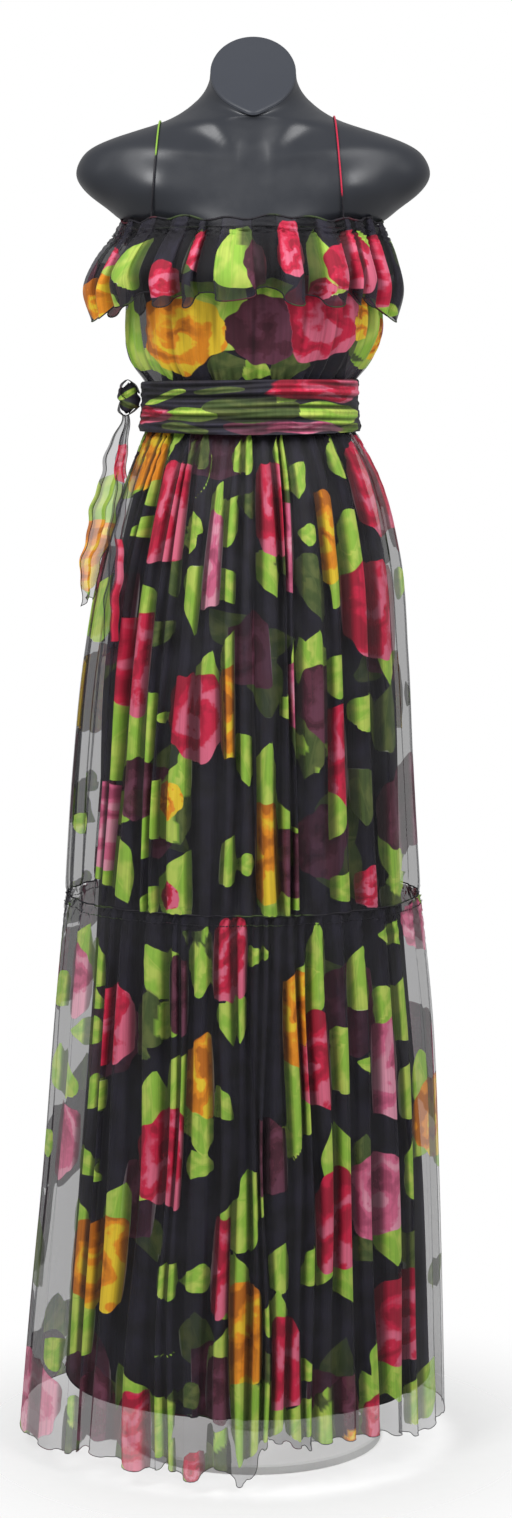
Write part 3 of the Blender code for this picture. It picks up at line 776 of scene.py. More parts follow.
def lay_print(folded, heights, motifs):
    """Lay motifs on a half; a fold shows a motif if the fold's middle is within it."""
    made = Print(heights.size)
    columns = heights.shape[1]
    for motif in motifs:
        _, _, left, right, low, high, _ = motif
        middle = (low + high) / 2
        start = across_of(folded.levels, left, middle)
        end = across_of(folded.levels, right, middle)
        girth = half_girth(folded.levels, middle)
        away = np.abs(folded.centre - (start + end) / 2)
        here = away <= max(folded.spill * (end - start) / 2, away.min() + 1e-6)
        x = folded.offset + (folded.centre - (start + end) / 2) * girth
        x = x / np.clip((end - start) * girth / (right - left), 1.0, MOST_STRETCH)
        within = here[None, :] & (np.abs(heights - middle) < (high - low) * 0.75 + 0.01)
        chosen = np.flatnonzero(within)
        column = chosen % columns
        z = heights.ravel()[chosen] - middle + folded.rise[column]
        made.draw(motif, chosen, x[column], z)
    return made


def leaf_at(tint, x, z, size, lean):
    """A leaf motif round a middle; its size is half its length."""
    return ("leaf", tint, x - 0.6 * size, x + 0.6 * size, z - size, z + size, lean)


def with_leaves(motifs, seed, muted=0.12, size=(0.023, 0.036)):
    """The motifs and, round each rose, a few leaves that point away from it."""
    random = np.random.default_rng(seed)
    leaves = []
    for kind, _, left, right, low, high, _ in motifs:
        if kind != "rose" or high - low < 0.03:
            continue
        first = random.uniform(0.0, 360.0)
        for turn in (0.0, 115.0, 235.0):
            if random.random() < 0.22:
                continue
            lean = first + turn + random.uniform(-25.0, 25.0)
            reach = random.uniform(0.9, 1.25)
            x = (left + right) / 2 + reach * math.sin(math.radians(lean)) * (right - left) / 2
            z = (low + high) / 2 + reach * math.cos(math.radians(lean)) * (high - low) / 2
            x += 0.010 * math.copysign(1.0, x - (left + right) / 2)
            tint = "moss" if random.random() < muted else "lime"
            leaves.append(leaf_at(tint, x, z, random.uniform(*size), lean % 360.0))
    return [*leaves, *motifs]


def strewn(levels, low, high, seed, spacing=0.075, muted=0.25, tall=(0.036, 0.052)):
    """Roses and leaves like those of the front, for a side that is seen only from elsewhere:
    rows of roses, each moved a little from its place by a fixed seed."""
    random = np.random.default_rng(seed)
    roses = []
    for row, level in enumerate(np.arange(low + 0.01, high + 0.02, spacing * 1.30)):
        reach = smooth_levels(levels, np.array(level))[1]
        for place in np.arange(-reach * 0.99, reach, spacing * 0.90):
            x = float(place + (row % 2) * spacing * 0.45 + random.uniform(-0.014, 0.014))
            z = float(level + random.uniform(-0.026, 0.026))
            half_height = float(random.uniform(*tall))
            half_width = float(random.uniform(0.012, 0.026))
            tint = str(random.choice(["crimson", "crimson", "pink", "orange"]))
            if random.random() < muted:
                tint = "maroon"
            if random.random() < 0.85:
                sides = (x - half_width, x + half_width, z - half_height, z + half_height)
                roses.append(("rose", tint, *sides, 0))
    return with_leaves(roses, seed + 1, muted)


# ---------------------------------------------------------------- meshes


def sheet_mesh(name, points, flat_across, flat_down, made, crest_for_painted_shade=1.0):
    """A sheet through a grid of points: its flat cloth is a UV map, and its print and how near
    each point is to a fold's crest are attributes; by the crest the material paints shade in the hollows."""
    rows, columns = points.shape[:2]
    index = np.arange(rows * columns).reshape(rows, columns)
    faces = np.stack(
        (index[:-1, :-1], index[1:, :-1], index[1:, 1:], index[:-1, 1:]), axis=-1
    ).reshape(-1, 4)
    mesh = bpy.data.meshes.new(name)
    mesh.from_pydata(points.reshape(-1, 3).tolist(), [], faces.tolist())
    flat = np.stack(np.broadcast_arrays(flat_across, flat_down), axis=-1).reshape(-1, 2)
    corners = np.empty(len(mesh.loops), dtype=np.int64)
    mesh.loops.foreach_get("vertex_index", corners)
    uv = mesh.uv_layers.new(name="cloth")
    uv.data.foreach_set("uv", flat[corners].ravel())
    for layer in ("rose", "leaf"):
        place = mesh.attributes.new(layer, "FLOAT_VECTOR", "POINT")
        place.data.foreach_set("vector", getattr(made, layer).ravel())
        for shade in ("_tint", "_light"):
            tint = mesh.attributes.new(layer + shade, "FLOAT_COLOR", "POINT")
            tint.data.foreach_set("color", getattr(made, layer + shade).ravel())
    # The crest attribute, by which the material paints shade in the folds' hollows.
    height = mesh.attributes.new("crest_for_painted_shade", "FLOAT", "POINT")
    height.data.foreach_set("value", np.broadcast_to(crest_for_painted_shade, (rows, columns)).ravel())
    mesh.shade_smooth()
    return mesh


def link_object(name, data):
    """A new object at the origin, in the scene."""
    made = bpy.data.objects.new(name, data)
    bpy.context.scene.collection.objects.link(made)
    return made


def settled(maker):
    """The mesh that a helper object's modifiers or curve give; the helper is removed."""
    graph = bpy.context.evaluated_depsgraph_get()
    mesh = bpy.data.meshes.new_from_object(maker.evaluated_get(graph))
    bpy.data.objects.remove(maker)
    mesh.shade_smooth()
    return mesh


def add_piece(name, mesh, look, node):
    """Add a piece that stands for a node of the frame and moves with it."""
    piece = link_object(name, mesh)
    mesh.materials.clear()
    mesh.materials.append(look)
    if node:
        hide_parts(node)
    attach(piece, ROOT)
    return piece


def lay_sheet(
    node, points, flat, made, look, crest_for_painted_shade=1.0,
):
    """A cloth sheet in place of its solid; flat is its ways across and down."""
    mesh = sheet_mesh(node + "_cloth", points, *flat, made, crest_for_painted_shade)
    piece = add_piece(node + "_cloth", mesh, look, node)
    return points


# ---------------------------------------------------------------- shader groups


def new_group(name, inputs, outputs):
    """A shader node group with named sockets."""
    tree = bpy.data.node_groups.new(name, "ShaderNodeTree")
    for label, kind, value in inputs:
        socket = tree.interface.new_socket(label, in_out="INPUT", socket_type=kind)
        if value is not None:
            socket.default_value = value
    for label, kind in outputs:
        tree.interface.new_socket(label, in_out="OUTPUT", socket_type=kind)
    return tree, tree.nodes.new("NodeGroupInput"), tree.nodes.new("NodeGroupOutput")


def math_node(tree, operation, first, second=None, third=None, clamp=False):
    """A Math node; each input is a socket or a number."""
    node = tree.nodes.new("ShaderNodeMath")
    node.operation = operation
    node.use_clamp = clamp
    for socket, value in zip(node.inputs, (first, second, third)):
        if isinstance(value, bpy.types.NodeSocket):
            tree.links.new(value, socket)
        elif value is not None:
            socket.default_value = value
    return node.outputs[0]


def ramp(tree, value, start, end, low=0.0, high=1.0):
    """A soft step: low before start, high after end."""
    node = tree.nodes.new("ShaderNodeMapRange")
    node.interpolation_type = "SMOOTHSTEP"
    tree.links.new(value, node.inputs["Value"])
    for label, number in (
        ("From Min", start), ("From Max", end), ("To Min", low), ("To Max", high)
    ):
        node.inputs[label].default_value = number
    return node.outputs["Result"]


def mix_colour(tree, share, first, second, blend="MIX"):
    """A colour Mix; each input is a socket or a value."""
    node = tree.nodes.new("ShaderNodeMix")
    node.data_type = "RGBA"
    node.blend_type = blend
    pairs = ((node.inputs["Factor"], share), (node.inputs[6], first), (node.inputs[7], second))
    for socket, value in pairs:
        if isinstance(value, bpy.types.NodeSocket):
            tree.links.new(value, socket)
        else:
            socket.default_value = value
    return node.outputs[2]


def noise(tree, vector, scale, detail=2.0):
    """A noise value round 0.5."""
    node = tree.nodes.new("ShaderNodeTexNoise")
    node.inputs["Scale"].default_value = scale
    node.inputs["Detail"].default_value = detail
    tree.links.new(vector, node.inputs["Vector"])
    return node.outputs["Fac"]


def split_of(tree, vector):
    """The three parts of a vector."""
    node = tree.nodes.new("ShaderNodeSeparateXYZ")
    tree.links.new(vector, node.inputs[0])
    return node.outputs


def object_place(tree):
    """Object coordinates."""
    return tree.nodes.new("ShaderNodeTexCoord").outputs["Object"]


def bump_of(tree, height, strength, distance, normal=None):
    """A Bump node's normal, over another bump's if there is one."""
    node = tree.nodes.new("ShaderNodeBump")
    node.inputs["Strength"].default_value = strength
    node.inputs["Distance"].default_value = distance
    tree.links.new(height, node.inputs["Height"])
    if normal is not None:
        tree.links.new(normal, node.inputs["Normal"])
    return node.outputs["Normal"]


def motif_group(name):
    """The sockets that both motifs' groups have."""
    return new_group(
        name,
        (
            ("Place", "NodeSocketVector", None),
            ("Tint", "NodeSocketColor", None),
            ("Light", "NodeSocketColor", None),
        ),
        (("Colour", "NodeSocketColor"), ("Mask", "NodeSocketFloat")),
    )


def rose_group():
    """Painted petals: broad strokes of three tones that curl round the middle of a rose."""
    tree, start, end = motif_group("rose_petals")
    split = split_of(tree, start.outputs["Place"])
    flat = tree.nodes.new("ShaderNodeCombineXYZ")
    tree.links.new(split[0], flat.inputs[0])
    tree.links.new(split[1], flat.inputs[1])
    blotch = noise(tree, flat.outputs[0], 0.9, 1.0)
    brush = noise(tree, flat.outputs[0], 3.2, 3.0)
    local = [math_node(tree, "WRAP", split[side], TILE / 2, -TILE / 2) for side in (0, 1)]
    square = math_node(tree, "MULTIPLY", local[0], local[0])
    radius = math_node(
        tree, "SQRT", math_node(tree, "MULTIPLY_ADD", local[1], local[1], square)
    )
    angle = math_node(tree, "ARCTAN2", local[1], local[0])
    curl = math_node(tree, "MULTIPLY_ADD", blotch, 14.0, math_node(tree, "MULTIPLY", brush, 5.0))
    spiral = math_node(
        tree, "SINE",
        math_node(tree, "ADD", math_node(tree, "MULTIPLY_ADD", radius, 5.5, angle), curl),
    )
    sweep = math_node(tree, "MULTIPLY_ADD", local[0], 0.45, math_node(tree, "MULTIPLY", local[1], -0.35))
    tone = math_node(tree, "MULTIPLY_ADD", spiral, 0.55, sweep)
    dark = ramp(tree, tone, -0.12, -0.58, 0.0, 0.85)
    light = ramp(tree, tone, 0.06, 0.46)
    deep = mix_colour(tree, 1.0, start.outputs["Tint"], (0.52, 0.40, 0.46, 1.0), "MULTIPLY")
    shade = mix_colour(tree, dark, start.outputs["Tint"], deep)
    shade = mix_colour(tree, light, shade, start.outputs["Light"])
    tree.links.new(shade, end.inputs["Colour"])
    tree.links.new(ramp(tree, split[2], -0.0004, 0.0009), end.inputs["Mask"])
    return tree


def leaf_group():
    """A leaf: two greens that run into each other, and a fine vein along its middle."""
    tree, start, end = motif_group("leaf_blade")
    split = split_of(tree, start.outputs["Place"])
    wash = noise(tree, start.outputs["Place"], 1.3, 2.0)
    side = math_node(tree, "ABSOLUTE", split[1])
    vein = ramp(tree, side, 0.05, 0.02)
    light = math_node(tree, "MAXIMUM", ramp(tree, wash, 0.42, 0.64), math_node(tree, "MULTIPLY", vein, 0.5))
    shade = mix_colour(tree, light, start.outputs["Tint"], start.outputs["Light"])
    tree.links.new(shade, end.inputs["Colour"])
    tree.links.new(ramp(tree, split[2], -0.0004, 0.0009), end.inputs["Mask"])
    return tree


def weave_group():
    """Crepe threads both ways: a height for bumps and a slight openness between threads."""
    tree, start, end = new_group(
        "crepe_weave",
        (("Flat", "NodeSocketVector", None), ("Threads", "NodeSocketFloat", 1000.0)),
        (("Height", "NodeSocketFloat"), ("Cover", "NodeSocketFloat")),
    )
    split = split_of(tree, start.outputs["Flat"])
    crimp = noise(tree, start.outputs["Flat"], 420.0, 2.0)
    threads = []
    for side in (0, 1):
        count = math_node(tree, "MULTIPLY", split[side], start.outputs["Threads"])
        turn = math_node(tree, "MULTIPLY_ADD", crimp, 3.0, math_node(tree, "MULTIPLY", count, 2 * math.pi))
        threads.append(math_node(tree, "SINE", turn))
    height = math_node(tree, "ADD", threads[0], threads[1])
    tree.links.new(height, end.inputs["Height"])
    cover = ramp(tree, height, -1.6, -0.4, 0.94, 1.0)
    tree.links.new(cover, end.inputs["Cover"])
    return tree


def group_of(name, builder):
    """A shared node group, built the first time it is asked for."""
    return bpy.data.node_groups.get(name) or builder()


def place_group(tree, group):
    """A node that uses a shared group."""
    node = tree.nodes.new("ShaderNodeGroup")
    node.node_tree = group
    return node


def attribute(tree, name, output):
    """A mesh attribute, as a socket."""
    node = tree.nodes.new("ShaderNodeAttribute")
    node.attribute_name = name
    return node.outputs[output]


def new_material(name, roughness, sheen=0.0):
    """A Principled material and its node tree."""
    look = bpy.data.materials.new(name)
    look.use_nodes = True
    shader = look.node_tree.nodes["Principled BSDF"]
    shader.inputs["Roughness"].default_value = roughness
    shader.inputs["Sheen Weight"].default_value = sheen
    shader.inputs["Sheen Roughness"].default_value = 0.4
    return look, look.node_tree, shader


def crinkle_group():
    """Long fine creases down the cloth, as crinkled chiffon has."""
    tree, start, end = new_group(
        "long_creases", (("Flat", "NodeSocketVector", None),), (("Height", "NodeSocketFloat"),)
    )
    stretch = tree.nodes.new("ShaderNodeMapping")
    stretch.inputs["Scale"].default_value = (1.0, 0.045, 1.0)
    tree.links.new(start.outputs["Flat"], stretch.inputs["Vector"])
    creases = noise(tree, stretch.outputs["Vector"], 260.0, 2.5)
    tree.links.new(creases, end.inputs["Height"])
    return tree


def add_weave_bump(tree, shader, flat, strength, streaks):
    """Creases and threads on the surface; gives how well the threads cover."""
    weave = place_group(tree, group_of("crepe_weave", weave_group))
    weave.inputs["Threads"].default_value = sizes().weave
    tree.links.new(flat, weave.inputs["Flat"])
    fold = bump_of(tree, streaks, 0.55, 0.0012)
    bump = bump_of(tree, weave.outputs["Height"], strength, 0.0002, fold)
    tree.links.new(bump, shader.inputs["Normal"])
    return weave.outputs["Cover"]


def printed_cloth(name, ground_cover, motif_cover, ground=None, roughness=0.72):
    """Sheer cloth with the rose and leaf print; cover is how much a layer hides.

    Its colour has painted shade: darker in the folds' hollows, a little lighter on their
    crests, and darker and lighter by turns along the long creases.
    """
    look, tree, shader = new_material(name, roughness, sheen=0.08)
    flat = tree.nodes.new("ShaderNodeUVMap")
    flat.uv_map = "cloth"
    base = tuple(ground or colours().ground)
    # Lighter, bluer patches of the ground, placed by random noise: partly a random tone of the cloth,
    # partly painted sheen.
    wash = noise(tree, flat.outputs[0], 40.0, 3.0)
    lifted = (1.5 * base[0] + 0.004, 1.5 * base[1] + 0.004, 1.8 * base[2] + 0.008, 1.0)
    shade = mix_colour(tree, ramp(tree, wash, 0.35, 0.65), (*base, 1.0), lifted)
    cover = None
    for layer, builder, title in (
        ("leaf", leaf_group, "leaf_blade"), ("rose", rose_group, "rose_petals")
    ):
        motif = place_group(tree, group_of(title, builder))
        tree.links.new(attribute(tree, layer, "Vector"), motif.inputs["Place"])
        tree.links.new(attribute(tree, layer + "_tint", "Color"), motif.inputs["Tint"])
        tree.links.new(attribute(tree, layer + "_light", "Color"), motif.inputs["Light"])
        shade = mix_colour(tree, motif.outputs["Mask"], shade, motif.outputs["Colour"])
        mask = motif.outputs["Mask"]
        cover = mask if cover is None else math_node(tree, "MAXIMUM", cover, mask)
    creases = place_group(tree, group_of("long_creases", crinkle_group))
    tree.links.new(flat.outputs[0], creases.inputs["Flat"])
    streaks = creases.outputs["Height"]
    # Painted shade: the colour is made darker in the folds' hollows and a little lighter on their crests,
    # by how near each point is to a crest.
    crest_for_painted_shade = attribute(tree, "crest_for_painted_shade", "Fac")
    painted_hollow_shade = ramp(tree, crest_for_painted_shade, 0.02, 0.70, 0.18, 1.12)
    # Painted shade and sheen along the long creases: their height darkens and lightens the colour as well
    # as bumping the surface.
    painted_hollow_shade = math_node(tree, "MULTIPLY", painted_hollow_shade, ramp(tree, streaks, 0.25, 0.60, 0.82, 1.06))
    painted_shade_grey = tree.nodes.new("ShaderNodeCombineColor")
    for side in range(3):
        tree.links.new(painted_hollow_shade, painted_shade_grey.inputs[side])
    shade = mix_colour(tree, 1.0, shade, painted_shade_grey.outputs[0], "MULTIPLY")
    tree.links.new(shade, shader.inputs["Base Color"])
    threads = add_weave_bump(tree, shader, flat.outputs[0], 0.25, streaks)
    if ground_cover < 1.0:
        amount = math_node(tree, "MULTIPLY_ADD", cover, motif_cover - ground_cover, ground_cover)
        tree.links.new(math_node(tree, "MULTIPLY", amount, threads), shader.inputs["Alpha"])
    return look


def look_of(name, builder, *values, **options):
    """A material, built the first time it is asked for."""
    return bpy.data.materials.get(name) or builder(name, *values, **options)


def chiffon():
    """The skirt's sheer printed cloth."""
    return look_of("rose_chiffon", printed_cloth, 0.40, 0.80)


def bodice_cloth():
    """The same cloth in more layers, which hides more."""
    return look_of("rose_chiffon_doubled", printed_cloth, 0.72, 0.95)


def edge_cloth(name):
    """The dark rolled edge of the sheer cloth, faintly flecked with the print's colours."""
    look, tree, shader = new_material(name, 0.7)
    place = object_place(tree)
    fleck = noise(tree, place, 22.0, 1.0)
    dark = (*colours().ground, 1.0)
    shade = mix_colour(tree, ramp(tree, fleck, 0.56, 0.64, 0.0, 0.12), dark, (*colours().lime, 1.0))
    shade = mix_colour(tree, ramp(tree, fleck, 0.42, 0.36, 0.0, 0.12), shade, (*colours().crimson, 1.0))
    tree.links.new(shade, shader.inputs["Base Color"])
    return look


def strap_cloth(name, tint, change):
    """A rolled strap, of a print colour above a height and black below it."""
    look, tree, shader = new_material(name, 0.6, sheen=0.1)
    place = object_place(tree)
    level = split_of(tree, place)[2]
    ragged = math_node(tree, "MULTIPLY_ADD", noise(tree, place, 300.0), 0.008, level)
    share = ramp(tree, ragged, change, change + 0.004)
    shade = mix_colour(tree, share, (*colours().ground, 1.0), (*getattr(colours(), tint), 1.0))
    tree.links.new(shade, shader.inputs["Base Color"])
    twist = tree.nodes.new("ShaderNodeTexWave")
    twist.bands_direction = "DIAGONAL"
    twist.inputs["Scale"].default_value = 160.0
    tree.links.new(place, twist.inputs["Vector"])
    tree.links.new(bump_of(tree, twist.outputs["Fac"], 0.4, 0.0003), shader.inputs["Normal"])
    return look


def moulded_plastic(name, tint, roughness, grain):
    """Smooth plastic or paint: faint orange peel, and a roughness that varies a little."""
    look, tree, shader = new_material(name, roughness)
    place = object_place(tree)
    cloud = noise(tree, place, 9.0, 4.0)
    base = (*tint, 1.0)
    lighter = (*(value * 1.12 for value in tint), 1.0)
    tree.links.new(mix_colour(tree, cloud, base, lighter), shader.inputs["Base Color"])
    worn = noise(tree, place, 35.0, 5.0)
    varied = ramp(tree, worn, 0.2, 0.8, roughness - 0.05, roughness + 0.08)
    tree.links.new(varied, shader.inputs["Roughness"])
    bump = bump_of(tree, noise(tree, place, 900.0, 2.0), grain, 0.0004)
    tree.links.new(bump, shader.inputs["Normal"])
    return look


# ---------------------------------------------------------------- edges by Geometry Nodes


def path_tree(name, numbers):
    """A Geometry Nodes tree that works along a path: its ends, and the nodes all such share."""
    tree = bpy.data.node_groups.new(name, "GeometryNodeTree")
    face = tree.interface
    face.new_socket("Geometry", in_out="INPUT", socket_type="NodeSocketGeometry")
    for label, value in numbers:
        socket = face.new_socket(label, in_out="INPUT", socket_type="NodeSocketFloat")
        socket.default_value = value
    face.new_socket("Material", in_out="INPUT", socket_type="NodeSocketMaterial")
    face.new_socket("Geometry", in_out="OUTPUT", socket_type="NodeSocketGeometry")
    start = tree.nodes.new("NodeGroupInput")
    end = tree.nodes.new("NodeGroupOutput")
    path = tree.nodes.new("GeometryNodeMeshToCurve")
    real = tree.nodes.new("GeometryNodeRealizeInstances")
    paint = tree.nodes.new("GeometryNodeSetMaterial")
    tree.links.new(start.outputs["Geometry"], path.inputs["Mesh"])
    tree.links.new(real.outputs["Geometry"], paint.inputs["Geometry"])
    tree.links.new(start.outputs["Material"], paint.inputs["Material"])
    tree.links.new(paint.outputs["Geometry"], end.inputs["Geometry"])
    return tree, start, path, real


def edge_roll_tree():
    """Geometry Nodes: sweep a small round roll along the edges of a path."""
    tree, start, path, real = path_tree("edge_roll", (("Radius", 0.0007),))
    ring = tree.nodes.new("GeometryNodeCurvePrimitiveCircle")
    ring.inputs["Resolution"].default_value = 6
    sweep = tree.nodes.new("GeometryNodeCurveToMesh")
    sweep.inputs["Fill Caps"].default_value = True
    links = tree.links
    links.new(start.outputs["Radius"], ring.inputs["Radius"])
    links.new(path.outputs["Curve"], sweep.inputs["Curve"])
    links.new(ring.outputs["Curve"], sweep.inputs["Profile Curve"])
    links.new(sweep.outputs["Mesh"], real.inputs["Geometry"])
    return tree


def stitch_tree():
    """Geometry Nodes: small stitches at even steps along a path, lying along it."""
    numbers = (("Length", 0.0022), ("Gap", 0.0040), ("Thickness", 0.0005))
    tree, start, path, real = path_tree("seam_stitches", numbers)
    even = tree.nodes.new("GeometryNodeCurveToPoints")
    even.mode = "LENGTH"
    thread = tree.nodes.new("GeometryNodeMeshCylinder")
    thread.inputs["Vertices"].default_value = 6
    put = tree.nodes.new("GeometryNodeInstanceOnPoints")
    links = tree.links
    links.new(path.outputs["Curve"], even.inputs["Curve"])
    links.new(start.outputs["Gap"], even.inputs["Length"])
    links.new(start.outputs["Thickness"], thread.inputs["Radius"])
    links.new(start.outputs["Length"], thread.inputs["Depth"])
    links.new(even.outputs["Points"], put.inputs["Points"])
    links.new(even.outputs["Rotation"], put.inputs["Rotation"])
    links.new(thread.outputs["Mesh"], put.inputs["Instance"])
    links.new(put.outputs["Instances"], real.inputs["Geometry"])
    return tree


def along_paths(name, paths, tree, values):
    """Run a Geometry Nodes tree along paths of points and keep the result as a plain piece."""
    points = []
    edges = []
    for path in paths:
        first = len(points)
        points += [tuple(place) for place in path]
        edges += [(first + step, first + step + 1) for step in range(len(path) - 1)]
    wire = bpy.data.meshes.new(name)
    wire.from_pydata(points, edges, [])
    maker = link_object(name + "_maker", wire)
    modifier = maker.modifiers.new("nodes", "NODES")
    modifier.node_group = tree
    for item in tree.interface.items_tree:
        if item.item_type == "SOCKET" and item.in_out == "INPUT" and item.name in values:
            modifier[item.identifier] = values[item.name]
    mesh = settled(maker)
    mesh.name = name
    piece = link_object(name, mesh)
    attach(piece, ROOT)
    return piece


def roll_edge(name, paths):
    """A rolled edge along each path."""
    tree = bpy.data.node_groups.get("edge_roll") or edge_roll_tree()
    look = look_of("edge_cloth", edge_cloth)
    values = {"Radius": EDGE_RADII.get(name, sizes().roll_radius), "Material": look}
    return along_paths(name, paths, tree, values)


def stitch_seam(name, paths):
    """A row of stitches along each path."""
    tree = bpy.data.node_groups.get("seam_stitches") or stitch_tree()
    look = look_of("edge_cloth", edge_cloth)
    values = {"Length": sizes().stitch_length, "Material": look}
    return along_paths(name, paths, tree, values)


# ---------------------------------------------------------------- cloth pieces


def gather_depths(heights, run_in):
    """Fold depth down a tier: shallow at its gathered top, full lower down."""
    fallen = np.clip((heights[0] - heights) / run_in, 0.0, 1.0)
    eased = fallen * (2.0 - fallen)
    return sizes().gather_depth + (sizes().fold_depth - sizes().gather_depth) * eased


def add_creases(folded, heights):
    """Deepen the main creases, each a soft trough down the skirt."""
    for across, top, foot, half_width, depth in CREASES:
        place = across if folded.front else 1.0 - across
        over = near(folded.across, place, half_width)
        fade = np.clip((top - heights) / 0.10, 0.0, 1.0) * np.clip((heights - foot) / 0.10, 0.0, 1.0)
        folded.lift = folded.lift - depth * over * fade


def add_puckers(folded, heights, seam, reach, depth, seed):
    """Small uneven gathers below a seam, fading as they leave it."""
    random = np.random.default_rng(seed)
    fade = np.exp(-np.abs(seam - heights) / reach)
    for count in (61, 97):
        phase = random.uniform(0.0, 2.0 * math.pi)
        ripple = np.sin(2.0 * math.pi * count * folded.across + phase + 9.0 * (seam - heights) / reach)
        folded.lift = folded.lift + depth * fade * (ripple - 1.0) / 2


def skirt_tier(tier, front):
    """One half of a gathered tier, with its print; makes the piece and gives its points."""
    node = half_node(f"skirt_{tier}", front)
    low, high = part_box(node)
    upper = tier == "upper"
    folds = sizes().upper_folds if upper else sizes().lower_folds
    steps, rows, seed = TIER_GRIDS[tier]
    seed += 0 if front else BACK_SEED
    columns = folds * steps + 1
    if upper:
        foot = low[2]
    else:
        lobes = FRONT_HEM[1] if front else BACK_HEM
        knots = np.linspace(0.0, 1.0, len(lobes))
        if front:
            knots = [across_of(SKIRT_LEVELS, x, HEM_LEVEL) for x in FRONT_HEM[0]]
        wide = np.interp(np.linspace(0.0, 1.0, columns), knots, lobes)
        foot = np.convolve(np.pad(wide, 5, mode="edge"), np.ones(11) / 11, mode="valid")
    heights = plain_heights(high[2], foot, rows, columns)
    depth = gather_depths(heights.mean(axis=1), 0.13)
    folded = Folded(SKIRT_LEVELS, heights, front, folds, depth, seed, steps=steps)
    if not upper:
        sag = 0.003 * (1.0 - folded.out) * np.linspace(0.0, 1.0, rows)[:, None] ** 4
        heights = np.maximum(heights + sag - 0.001, 0.010)
    add_creases(folded, heights)
    add_puckers(folded, heights, high[2], 0.022, 0.0042, seed)
    if upper:
        pinch = near(heights, low[2], 0.006)
        folded.lift = folded.lift * (1.0 - 0.5 * pinch) - 0.0015 * pinch
        add_puckers(folded, heights, low[2], 0.010, 0.0015, seed + 1)
    points = folded.grid(heights)
    if front:
        motifs = with_leaves(UPPER_PRINT if upper else LOWER_PRINT, seed)
    else:
        motifs = strewn(SKIRT_LEVELS, low[2], high[2], seed)
    made = lay_print(folded, heights, motifs)
    flat = (folded.flat, high[2] - heights)
    # How far out each point lies on its fold sets the shade painted into the hollows.
    return lay_sheet(node, points, flat, made, chiffon(), folded.out)


def underskirt_half(front):
    """The plain black lining, with the under-layer's print showing as muted colours."""
    node = half_node("underskirt", front)
    low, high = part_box(node)
    rows = 130
    folds = 9
    steps = 22
    heights = plain_heights(high[2], low[2] + 0.001, rows, folds * steps + 1)
    fallen = np.linspace(0.0, 1.0, rows)
    depth = 0.0005 + 0.006 * fallen
    folded = Folded(UNDERSKIRT_LEVELS, heights, front, folds, depth, 71 + front, turn=0.55, steps=steps)
    points = folded.grid(heights)
    lay_flat(folded, folded.across[rows // 2])
    motifs = [
        (kind, "moss" if kind == "leaf" else "maroon", *rest)
        for kind, _, *rest in strewn(UNDERSKIRT_LEVELS, low[2], high[2], 301 + front, 0.155)
    ]
    made = lay_print(folded, heights, motifs)
    look = look_of("lining_print", printed_cloth, 1.0, 1.0, ground=colours().lining, roughness=0.55)
    flat = (folded.flat, high[2] - heights)
    return lay_sheet(node, points, flat, made, look)


def bodice_half(front):
    """A softly gathered half of the bodice, which blouses over the sash."""
    node = half_node("bodice", front)
    low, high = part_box(node)
    rows = 100
    columns = 360
    heights = plain_heights(high[2], low[2], rows, columns)
    across = np.broadcast_to(np.linspace(0.0, 1.0, columns), heights.shape)
    reach = smooth_levels(BODICE_LEVELS, heights)
    random = np.random.default_rng(5 + front)
    lift = np.zeros(heights.shape)
    for count, size in BODICE_WRINKLES:
        phase = random.uniform(0.0, 2.0 * math.pi)
        lean = random.uniform(-70.0, 70.0)
        lift += size * (np.sin(2.0 * math.pi * count * across + phase + lean * (heights - low[2])) - 1.0)
    seam = near(np.minimum(across, 1.0 - across), 0.0, 0.10)
    blouse = near(heights, BLOUSE_HEIGHT, 0.028)
    drawn = np.sin(2.0 * math.pi * 11.0 * across + 22.0 * (heights - 1.2)) ** 2
    lift += blouse * drawn * (0.0015 + 0.004 * seam)
    drawn_in = near(heights, SASH_TOP, 0.010)
    lift -= 0.0016 * drawn_in * np.sin(2.0 * math.pi * 23.0 * across) ** 2
    x, y = round_figure(reach, half_turn(across, front), lift)
    points = np.stack((x, y, heights), axis=-1)
    flat = lay_flat(Unfolded(BODICE_LEVELS), across[0])
    back_print = strewn(BODICE_LEVELS, low[2] + 0.04, high[2], 91, 0.085)
    made = lay_print(flat, heights, BODICE_PRINT if front else back_print)
    ways = (across * half_girth(BODICE_LEVELS, BODICE_MIDDLE), high[2] - heights)
    # The wrinkles' lift sets the shade painted into their hollows.
    return lay_sheet(node, points, ways, made, bodice_cloth(), 1.0 + lift / 0.0075)


def ruffle_fall(folded, fallen):
    """How far the flounce's edge drops: more at the sides, and in lobes with its folds."""
    sides = RUFFLE_SIDE_DROP * np.cos(folded.angle) ** 4
    lobes = RUFFLE_LOBE * np.sin(RUFFLE_LOBES * folded.angle)
    swing = RUFFLE_SWING * (folded.out - 0.5)
    return (sides + lobes + swing) * fallen**1.5


